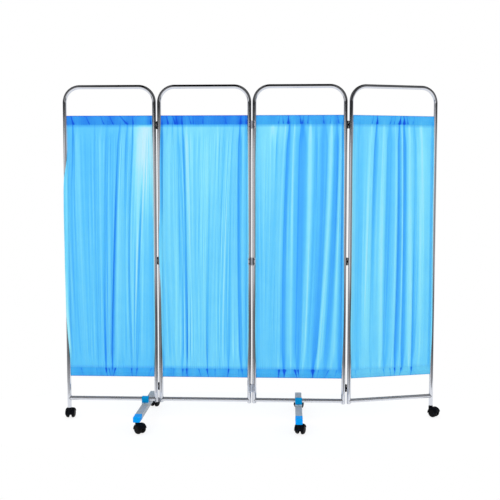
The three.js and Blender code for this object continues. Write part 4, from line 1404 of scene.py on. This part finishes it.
def leaf_shell(hinge, tube, pinned, bright):
    """One leaf about its pin, on a tube behind it towards +X: a plate that leaves the knuckles
    and lies round the tube, its free corners rounded, with two screws and its knuckles."""
    shell = Shell()
    half, thick, knuckle = hinge.leaf_height / 2, hinge.leaf_thickness, hinge.knuckle / 2
    reach, depth = leg_from_pin()
    radius = tube.diameter / 2 + 0.0002 + thick / 2
    level = radius - depth
    start = knuckle + 0.0004
    turn = np.linspace(QUARTER, math.radians(66), 9)
    bend = np.stack([reach + radius * np.cos(turn), radius * np.sin(turn) - depth], -1)
    flat = np.stack([np.linspace(start, reach, 6)[:-1], np.full(5, level)], -1)
    line = np.vstack([flat, bend])
    path = np.insert(line, 2, 0.0, 1)
    run = running(spans(line))
    corner, edge, upward = 0.004, 0.0004, (0.0, 0.0, 1.0)
    into = np.clip(run - (run[-1] - corner), 0.0, corner)
    height = half - corner + np.sqrt(np.maximum(corner**2 - into**2, 0.0))
    sections = np.stack([rounded_box(thick, 2 * h, edge, 2) for h in height])
    wear = 0.15 * (np.abs(sections[..., 1]) > height[:, None] - 0.0005)
    # On the front hinge the leaf's bend round the tube gets a painted highlight
    wear = wear + bright * (line[:, :1] > reach - 0.001)
    shell.add(swept(sections, path, upward), poles=True, wear=wear)

    # Three knuckles: the leaf that holds the pin has the outer two
    gap = 0.00025
    inner = half - hinge.leaf_height / 3
    outer_spans = [(-half, -inner - gap), (inner + gap, half)]
    for low, high in outer_spans if pinned else [(-inner + gap, inner - gap)]:
        # On the front hinge the knuckles get a painted highlight
        shell.add(drum(knuckle, low, high, 0.0005, 3, 24), poles=True, wear=bright)
        tab = [(x, level, (low + high) / 2) for x in (knuckle * 0.55, start + 0.0008)]
        shell.add(swept(rounded_box(thick, high - low, edge, 2), tab, upward), poles=True)
    head, end = hinge.pin / 2, half + 0.0001
    pin_head = turned([(head, end), (head * 0.98, end + 0.0004), (head * 0.8, end + 0.0009),
                       (head * 0.45, end + 0.0012)], 20)
    for side in SIDES if pinned else ():
        # On the front hinge the pin heads get a painted highlight
        shell.add(pin_head * [1.0, 1.0, side], poles=True, wear=bright)
    for side in SIDES:
        screw = faced(screw_grid(hinge.screw / 2, 0.0011), ((1, 0, 0), (0, 0, -1), (0, 1, 0)),
                      (reach, level + thick / 2 - 0.0001, side * hinge.screw_spacing / 2))
        shell.add(screw, poles=True, wear=0.12)
    return shell


def screw_grid(radius, height):
    """A pan head with a cross recess, seen from +Z: its height falls as the fourth power of the
    radius, less a step where either axis is within a slot's half width."""
    share = np.array([1.0, 1.0, 0.93, 0.8, 0.62, 0.44, 0.28, 0.14])[:, None]
    slot_half_width, slot_reach, slot_depth = 0.13 * radius, 0.66 * radius, 0.5 * height
    x, y = np.moveaxis(radius * share[..., None] * circle(1.0, 32), -1, 0)
    in_slot = (np.minimum(np.abs(x), np.abs(y)) < slot_half_width) & (np.hypot(x, y) < slot_reach)
    z = height * (1 - 0.75 * share**4) - slot_depth * in_slot
    z[0] = 0.0
    return np.stack([x, y, z], -1)


# Feet


class SCREEN_OT_feet(Operator):
    """Make the bars, caps, plates and saddles of the two feet"""

    bl_idname = "ward_screen.feet"
    bl_label = "Cross feet"

    def execute(self, context):
        foot, tube = settings("foot"), settings("tube")
        for number, panel in ((1, 1), (2, 3)):
            name, body = f"foot_{number}", f"panel_{panel}"
            place = Place(caster_place(f"{name}_front").x, panel_place(panel).y)

            def local_box(part):
                """Lowest and highest corner of a node of this foot from its own place."""
                shift = Vector((place.x, place.y, 0.0))
                return [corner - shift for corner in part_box(f"{name}_{part}")]

            def dress(grid, piece, finish, slot, *nodes, flat_faces=True, **options):
                """One grid as a piece of this foot, on its panel's body."""
                Shell().add(place(grid), **options).dress(
                    f"{name}_{piece}", finish, body, slot, *nodes, flat_faces=flat_faces)

            bar, plate = local_box("bar"), local_box("base_plate")
            dress(bar_grid(foot, *bar), "box_tube", "bar", "foot_metal", f"{name}_bar",
                  closed_rows=True, wear={(14, 16): 0.8})
            dress(rear_plug_grid(foot, *bar), "rear_plug", "plug", "foot_metal", poles=True)
            dress(front_cap_grid(foot, *local_box("front_cap")), "moulded_cap", "blue",
                  "blue_plastic", f"{name}_front_cap", poles=True, wear={(2, 5): 0.5})
            dress(nose_plate_grid(*plate), "nose_plate", "plate", "foot_metal",
                  f"{name}_base_plate", poles=True, wear={(-4, None): 0.7})
            # The saddle takes the shaded copy of the caps' blue, painted darker
            dress(saddle_grid(foot, tube, *local_box("saddle")), "clamp_saddle", "deep_blue",
                  "blue_plastic", f"{name}_saddle", closed_rows=True,
                  wear={(1, 4): 0.45, (6, 9): 0.45})
            head_radius, head_height, behind_nose, sunk = 0.0042, 0.0022, 0.0105, 0.0001
            dress(screw_grid(head_radius, head_height)
                  + [0.0, plate[0].y + behind_nose, plate[1].z - sunk], "plate_screw", "zinc",
                  "foot_metal", flat_faces=False, poles=True, wear=0.3)
        return {"FINISHED"}


def bar_grid(foot, low, high):
    """A box tube along Y with round long edges, open at both ends."""
    ends = np.linspace(low.y, high.y, 15)
    path = np.stack([0.0 * ends, ends, np.full(15, (low.z + high.z) / 2)], -1)
    outer, inner = (
        rounded_box(foot.height - 2 * wall, foot.width - 2 * wall, foot.edge - 0.5 * wall)
        for wall in (0.0, foot.wall))
    return pipe(outer, inner, path, (1.0, 0.0, 0.0))


def rear_plug_grid(foot, low, high):
    """A shallow plug that closes the bar's rear end, with a raised rim and a sunk middle."""
    inside = 2 * foot.wall + 0.0003
    outline = rounded_box(foot.width - inside, foot.height - inside, foot.edge)
    steps = [(0.0008, -0.018), (0.0, -0.0172), (0.0, -0.0006), (0.0002, -0.0002), (0.0007, 0.0),
             (0.0026, 0.0), (0.0032, -0.0003), (0.0036, -0.0011), (0.0042, -0.0014)]
    return faced(stepped(outline, steps), TO_BACK, (0.0, high.y, (low.z + high.z) / 2))


def front_cap_grid(foot, low, high):
    """A moulded cup over the bar's front end: outlines from the middle of the front face, round
    its edge, along the sides over a raised rib to the rim, and back inside to the bar's end."""
    wall, edge = foot.cap_wall, foot.cap_edge
    inward, climb = rim(edge, 5)
    rib, proud = high.y - 0.006, -0.0005
    side = [(0.0, rib - 0.0010), (proud, rib - 0.0005), (proud, rib + 0.0027), (0.0, rib + 0.0032)]
    lip = [(0.0, high.y - 0.0006), (0.0003, high.y - 0.0001), (wall - 0.0002, high.y),
           (wall, high.y - 0.0005), (wall, low.y + 0.004)]
    outline = rounded_box(foot.width + 2 * wall, foot.height + 2 * wall, edge + 0.0004, 6)
    grid = stepped(outline, [*zip(inward, low.y + climb), *side, *lip])
    return faced(grid, TO_BACK, (0.0, 0.0, (low.z + high.z) / 2))


def nose_plate_grid(low, high):
    """A plate with a half-round nose towards the front and a rolled upper edge."""
    radius = (high.x - low.x) / 2
    angle = np.linspace(math.pi, TURN, 33)
    nose = np.stack([radius * np.cos(angle), low.y + radius + radius * np.sin(angle)], -1)
    back = filleted([nose[-1], (radius, high.y), (-radius, high.y), nose[0]], 0.003, 5,
                    closed=False)
    return bevelled(np.vstack([nose, back[1:-1]]), low.z, high.z, 0.0016, 4)


def saddle_grid(foot, tube, low, high):
    """A clamp block with straight sides and a round top, bored for the rail: outlines along X
    with round edges, and back through the bore with its chamfers."""
    radius, half = (high.y - low.y) / 2, (high.x - low.x) / 2
    bore, chamfer = tube.diameter / 2 + 0.0002, 0.0008
    angle = angles(96) - QUARTER
    ray = np.stack([np.cos(angle), np.sin(angle)], -1)
    to_side = radius / np.maximum(np.abs(ray[:, 0]), 1e-9)
    to_floor = (low.z - tube.rail) / np.minimum(ray[:, 1], -1e-9)
    reach = np.where(ray[:, 1] < 0, np.minimum(to_side, to_floor), radius)
    outline = ray * reach[:, None]
    inward, climb = rim(foot.saddle_edge, 4)
    block = stepped(outline, [*zip(inward, climb - half), *zip(inward[::-1], half - climb[::-1])])
    hole = raised([ray * (bore + chamfer), ray * bore, ray * bore, ray * (bore + chamfer)],
                  [half - 0.0001, half - 0.0009, -half + 0.0009, -half + 0.0001])
    return faced(np.concatenate([block, hole]), TO_RIGHT, (0.0, 0.0, tube.rail))


# Casters


class SCREEN_OT_casters(Operator):
    """Make the bodies, wheels and bushes of the six casters"""

    bl_idname = "ward_screen.casters"
    bl_label = "Casters"

    def execute(self, context):
        caster, tube = settings("caster"), settings("tube")
        for name in CASTERS:
            place = caster_place(name)
            body_shell(caster).moved(place).dress(
                f"{name}_hooded_body", "black", f"{name}_caster", "black_plastic",
                f"{name}_caster_body")
            wheels_shell(caster).moved(place).dress(
                f"{name}_twin_wheels", "wheel", f"{name}_wheels", "wheel_plastic",
                f"{name}_caster_wheels")
        for name, body in (("leg_1", "panel_1"), ("leg_4", "panel_4")):
            grid = bush_grid(name, caster, tube)
            Shell().add(caster_place(name)(grid), closed_rows=True).dress(
                f"{name}_stem_bush", "black", body, "black_plastic", f"{name}_socket")
        return {"FINISHED"}


def hood_grid(caster):
    """The hood: a crowned strip whose outer radius falls with the fifth power of the distance
    from the middle, carried round the axle from the rear to the front."""
    half, thick, crown, inner_crown = caster.half_width, 0.0028, 0.0050, 0.0036
    y = np.linspace(-1.0, 1.0, 41)
    outer = caster.hood - crown * np.abs(y) ** 5
    inner = caster.hood - thick - inner_crown * np.abs(y) ** 5
    lip, between = half + 0.0004, (outer[-1] + inner[-1]) / 2
    outline = np.vstack([
        np.stack([half * y, outer], -1), [(lip, between)],
        np.stack([half * y[::-1], inner[::-1]], -1), [(-lip, between)]])
    angle = np.radians(np.concatenate([[12.0, 12.6], np.linspace(15.0, 186.0, 44), [188.0]]))
    tuck = np.ones(len(angle))
    tuck[[0, -1]] = 0.55
    tuck[[1, -2]] = 0.85
    middle = caster.hood - thick / 2
    radius = middle + (outline[None, :, 1] - middle) * tuck[:, None]
    x = caster_trail().length + radius * np.cos(angle)[:, None]
    z = caster.wheel / 2 + radius * np.sin(angle)[:, None]
    return np.stack(np.broadcast_arrays(x, outline[None, :, 0], z), -1)


def body_shell(caster):
    """Hood, web, stem boss, axle boss and stem of one caster, about its stem on the floor."""
    trail, axle = caster_trail().length, caster.wheel / 2
    boss, stem = caster.boss / 2, caster.stem / 2
    shell = Shell().add(hood_grid(caster), poles=True)

    reach = caster.hood - 0.0016
    angle = np.linspace(math.radians(14), math.pi + 0.05, 30)
    arc = np.stack([trail + reach * np.cos(angle), axle + reach * np.sin(angle)], -1)
    below = filleted([arc[-1], (trail - 0.012, axle - 0.0095), (trail + 0.0055, axle - 0.0095),
                      (trail + 0.0105, axle - 0.003), arc[0]], 0.004, 5, closed=False)
    outline = np.vstack([arc, below[1:-1]])
    web = bevelled(outline, -caster.web / 2, caster.web / 2, 0.0009)
    shell.add(faced(web, TO_FRONT), poles=True)

    low, boss_top = 0.0485, caster.height - 0.0001
    shell.add(lathe(
        [(0.0, low), (boss * 0.94, low), (boss, low + 0.0015), (boss, caster.height - 0.0030),
         (boss * 0.80, boss_top), (0.0, boss_top)],
        [0, 0.0008, 0.0008, 0.0012, 0.001, 0], 4, 40), poles=True, wear=0.15)
    neck = rounded_box(0.0205, caster.web - 0.0006, 0.005) - [0.0012, 0.0]
    shell.add(bevelled(neck, 0.033, low + 0.002, 0.0012), poles=True)

    # The boss runs into the hood in a soft shoulder
    share = np.linspace(0.0, 1.0, 12)
    ring, rise = circle(1.0, 40), smooth(share)[:, None, None]
    flat = ring * boss * 0.97 * (1 - rise) + (ring * [0.010, 0.0215] + [0.011, 0.0]) * rise
    shell.add(raised(flat, caster.height - 0.006 - 0.010 * share), poles=True)

    top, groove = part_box("leg_1_caster_body")[1].z, stem - 0.0009
    shell.add(lathe(
        [(0.0, caster.height - 0.004), (stem, caster.height - 0.004), (stem, top - 0.008),
         (groove, top - 0.0075), (groove, top - 0.005), (stem, top - 0.0045), (stem, top),
         (0.0, top)],
        [0, 0.0004, 0.0003, 0.0003, 0.0003, 0.0003, 0.001, 0], 3, 28), poles=True, wear=0.3)

    side = caster.web / 2 + 0.0011
    hub = drum(0.0072, -side, side, 0.0006, 3, 32)
    return shell.add(faced(hub, TO_FRONT, (trail, 0.0, axle)), poles=True)


def wheels_shell(caster):
    """Both wheels and their axle: profiles turned about Y. The tread is flat near the gap and
    rounds off towards the outer face, which has a ring groove, a dished hub and a domed middle."""
    radius, half = caster.wheel / 2, caster.half_width
    inner = caster.web / 2 + caster.gap
    tread = filleted([
        (0.0, inner + 0.004), (0.0065, inner + 0.004), (0.0075, inner + 0.0008),
        (0.0105, inner + 0.0012), (0.0115, inner + 0.005), (0.0195, inner + 0.0052),
        (0.0205, inner), (radius - 0.0012, inner), (radius, inner + 0.0014),
        (radius, half - 0.0085), (radius - 0.0030, half - 0.0024), (0.0178, half),
        (0.0165, half - 0.0001), (0.0160, half - 0.0012), (0.0150, half - 0.0012),
        (0.0145, half - 0.0001), (0.0080, half + 0.0003), (0.0070, half - 0.0008),
        (0.0055, half - 0.0008), (0.0050, half + 0.0003), (0.0, half + 0.0007)],
        [0, 0.0006, 0.0004, 0.0004, 0.0006, 0.0006, 0.0004, 0.0005, 0.0008, 0.009, 0.0045, 0.0006,
         0.0002, 0.0003, 0.0003, 0.0004, 0.0004, 0.0003, 0.0003, 0.0004, 0], 4, closed=False)
    wear = 0.9 * smooth((tread[:, 0] - (radius - 0.0012)) / 0.0008)[1:-1, None]
    origin = (caster_trail().length, 0.0, radius)
    shell = Shell()
    for side in SIDES:
        wheel = faced(turned(tread[1:-1], 56), ((1, 0, 0), (0, 0, 1), (0, side, 0)), origin)
        shell.add(wheel, poles=True, wear=wear)
    axle = drum(0.004, -inner - 0.006, inner + 0.006, 0.0005, 2, 20)
    return shell.add(faced(axle, ((1, 0, 0), (0, 0, 1), (0, 1, 0)), origin), poles=True)


def bush_grid(name, caster, tube):
    """The bush in a leg's end: a flange, a body inside the tube and the stem's bore."""
    low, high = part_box(f"{name}_socket")
    outer, bore = tube.diameter / 2, caster.stem / 2 + 0.0003
    body, flange = outer - tube.wall - 0.0002, low.z + 0.003
    corners = [(bore, low.z), (outer, low.z), (outer, flange), (body, flange), (body, high.z),
               (bore, high.z)]
    return turned(filleted(corners, [0.0004, 0.0008, 0.0006, 0.0001, 0.0008, 0.0004], 4), 40)


# Stage

CAMERA_PLACE = (0.1965, -4.5676, 1.2886)
CAMERA_YAW, CAMERA_PITCH = math.radians(-2.674), math.radians(-4.529)

# Places, aims, sizes and shares of the front lamp's power
LAMPS = {
    "front_lamp": ((-2.6, -4.2, 3.6), (0.0, 0.0, 0.9), 3.2, 1.0),
    "side_lamp": ((3.6, -3.0, 2.6), (0.2, 0.0, 0.9), 2.6, 0.5),
    "back_lamp": ((0.6, 4.4, 3.4), (0.0, 0.0, 1.0), 3.4, 0.55),
}

# What mirrors see of the room in front of the screen, by bearing from straight ahead in degrees,
# to the right as seen from the camera: the middle, the half width and how bright it is
ROOM_STRIPS = (
    (-100.0, 26.0, 0.10), (-36.0, 12.0, 1.25), (4.0, 14.0, 0.50), (48.0, 13.0, 0.11),
    (78.0, 12.0, 0.62),
)


class SCREEN_OT_stage(Operator):
    """Make the floor, the lamps, the world and the camera"""

    bl_idname = "ward_screen.stage"
    bl_label = "Stage"

    def execute(self, context):
        stage = settings("stage")
        floor_disc(stage)
        light_world(context.scene)
        for name, (place, aim, size, share) in LAMPS.items():
            light = bpy.data.lights.new(name, "AREA")
            light.shape, light.size, light.energy = "SQUARE", size, stage.lamp * share
            stand(name, light, place, Vector(aim) - Vector(place)).visible_glossy = False
        ahead = Vector((math.sin(CAMERA_YAW) * math.cos(CAMERA_PITCH),
                        math.cos(CAMERA_YAW) * math.cos(CAMERA_PITCH), math.sin(CAMERA_PITCH)))
        camera = stand("camera", bpy.data.cameras.new("camera"), CAMERA_PLACE, ahead)
        camera.data.lens, camera.data.sensor_width = stage.lens, 36.0
        context.scene.camera = camera
        context.scene.view_settings.view_transform = "Standard"
        return {"FINISHED"}


def stand(name, data, place, ahead):
    """A lamp or a camera at a place, looking ahead."""
    thing = bpy.data.objects.new(name, data)
    thing.location = place
    thing.rotation_euler = ahead.to_track_quat("-Z", "Y").to_euler()
    bpy.context.scene.collection.objects.link(thing)
    return thing


def floor_disc(stage):
    """An oval floor: rings whose radius grows with the square of the ring's number."""
    rings, sides, just_below = 24, 96, -0.0004
    radius = stage.floor * np.linspace(0.05, 1.0, rings) ** 2
    grid = turned(np.stack([radius, np.full(rings, just_below)], -1), sides)
    grid = grid * [1.0, stage.floor_depth / stage.floor, 1.0]
    shell = Shell().add(grid)
    middle = np.append(np.arange(sides), 0)
    shell.close(grid[0], middle[::-1], np.zeros((sides + 1, 2)))
    finish = Finish("pale_floor", Roughness=0.75, Specular_IOR_Level=0.2)
    speck = finish.spread(finish.noise(60.0), *MIDDLE)
    finish.coat(Base_Color=finish.shades(speck, stage.floor_white, 0.995, 1.005))
    rays = finish.node("LightPath").outputs
    seen = finish.math("MAXIMUM", rays["Is Camera Ray"], rays["Is Glossy Ray"])
    seen = finish.math("MAXIMUM", seen, rays["Is Transmission Ray"])
    glow = finish.node("Emission", {"Color": WHITE, "Strength": 1.06})
    finish.covered(finish.math("MULTIPLY", seen, 0.78), glow.outputs[0])
    shell.mesh_piece("floor", finish.material, closed=False, smooth_degrees=180)


def light_world(scene):
    """Even light, a white background and, for mirrors, that background behind the screen and a
    room with a dark upper part in front of it."""
    world = bpy.data.worlds.new("studio")
    scene.world = world
    world.use_nodes = True
    world.node_tree.nodes.clear()
    sky = Nodes(world.node_tree)

    def step(value, low, high, to_low=0.0, to_high=1.0):
        """A soft step from one number to another as a value goes from low to high."""
        return sky.spread(value, low, high, to_low, to_high, "SMOOTHSTEP")

    def above(value, low, high, under, over):
        """One number under a level and another over it, with a soft step between."""
        return sky.blend(step(value, low, high), under, over)

    x, y, z = sky.node("SeparateXYZ", {
        "Vector": sky.node("TexCoord").outputs["Generated"]}).outputs
    ahead = sky.math("ARCTAN2", x, sky.math("MULTIPLY", y, -1.0))
    bearing = sky.math("MULTIPLY", ahead, 180 / math.pi)
    walls = 0.40
    for middle, half, bright in ROOM_STRIPS:
        away = sky.math("ABSOLUTE", sky.math("SUBTRACT", bearing, middle))
        walls = sky.blend(step(away, 0.6 * half, 1.15 * half, 1.0, 0.0), walls, bright)
    skirting = sky.math("ADD", sky.math("MULTIPLY", walls, 0.5), 0.25)
    low_walls = above(z, -0.15, -0.095, sky.math("MULTIPLY", walls, 0.36), walls)
    low_walls = above(z, -0.235, -0.2, skirting, low_walls)
    near_floor = above(z, -0.31, -0.265, 1.0, low_walls)
    aside = step(sky.math("ABSOLUTE", sky.math("ADD", x, 0.03)), 0.15, 0.26, 0.0, 0.12)
    ceiling = above(z, 0.12, 0.2, 0.03, aside)
    room = above(z, 0.045, 0.085, near_floor, ceiling)
    grey = above(y, 0.05, 0.25, room, above(z, 0.22, 0.5, 1.0, 0.02))
    plain, white, studio = (
        sky.node("Background", {"Color": WHITE, "Strength": strength}).outputs[0]
        for strength in (0.88, 1.0, grey))
    rays = sky.node("LightPath").outputs
    seen = sky.math("MAXIMUM", rays["Is Camera Ray"], rays["Is Transmission Ray"])
    light = sky.shaders(seen, sky.shaders(rays["Is Glossy Ray"], plain, studio), white)
    sky.node("OutputWorld", {"Surface": light})


# Sidebar and registration

PIECES = (
    SCREEN_OT_stage, SCREEN_OT_frames, SCREEN_OT_rails, SCREEN_OT_rods, SCREEN_OT_plugs,
    SCREEN_OT_curtains, SCREEN_OT_stitching, SCREEN_OT_hinges, SCREEN_OT_feet, SCREEN_OT_casters,
)

GROUPS = {
    "tube": TubeSettings, "curtain": CurtainSettings, "hinge": HingeSettings,
    "foot": FootSettings, "caster": CasterSettings, "stage": StageSettings,
}


class SCREEN_PT_pieces(Panel):
    """Lists the screen's pieces and their sizes"""

    bl_idname = "SCREEN_PT_pieces"
    bl_label = "Ward privacy screen"
    bl_space_type = "VIEW_3D"
    bl_region_type = "UI"
    bl_category = "Screen"

    def draw(self, context):
        for operator in PIECES:
            self.layout.operator(operator.bl_idname)
        for name, group in GROUPS.items():
            box = self.layout.box()
            box.label(text=name.capitalize())
            for prop in group.__annotations__:
                box.prop(settings(name), prop)


CLASSES = (*GROUPS.values(), *PIECES, SCREEN_PT_pieces)


def register():
    """Registers the classes and gives the scene its groups of settings."""
    for kind in CLASSES:
        bpy.utils.register_class(kind)
    for name, group in GROUPS.items():
        setattr(bpy.types.Scene, "ward_screen_" + name, PointerProperty(type=group))


def unregister():
    """Takes the groups of settings and the classes away again."""
    for name in GROUPS:
        delattr(bpy.types.Scene, "ward_screen_" + name)
    for kind in reversed(CLASSES):
        bpy.utils.unregister_class(kind)


def main():
    """Makes every piece in order."""
    register()
    for operator in PIECES:
        group, name = operator.bl_idname.split(".")
        getattr(getattr(bpy.ops, group), name)()


if __name__ == "__main__":
    main()
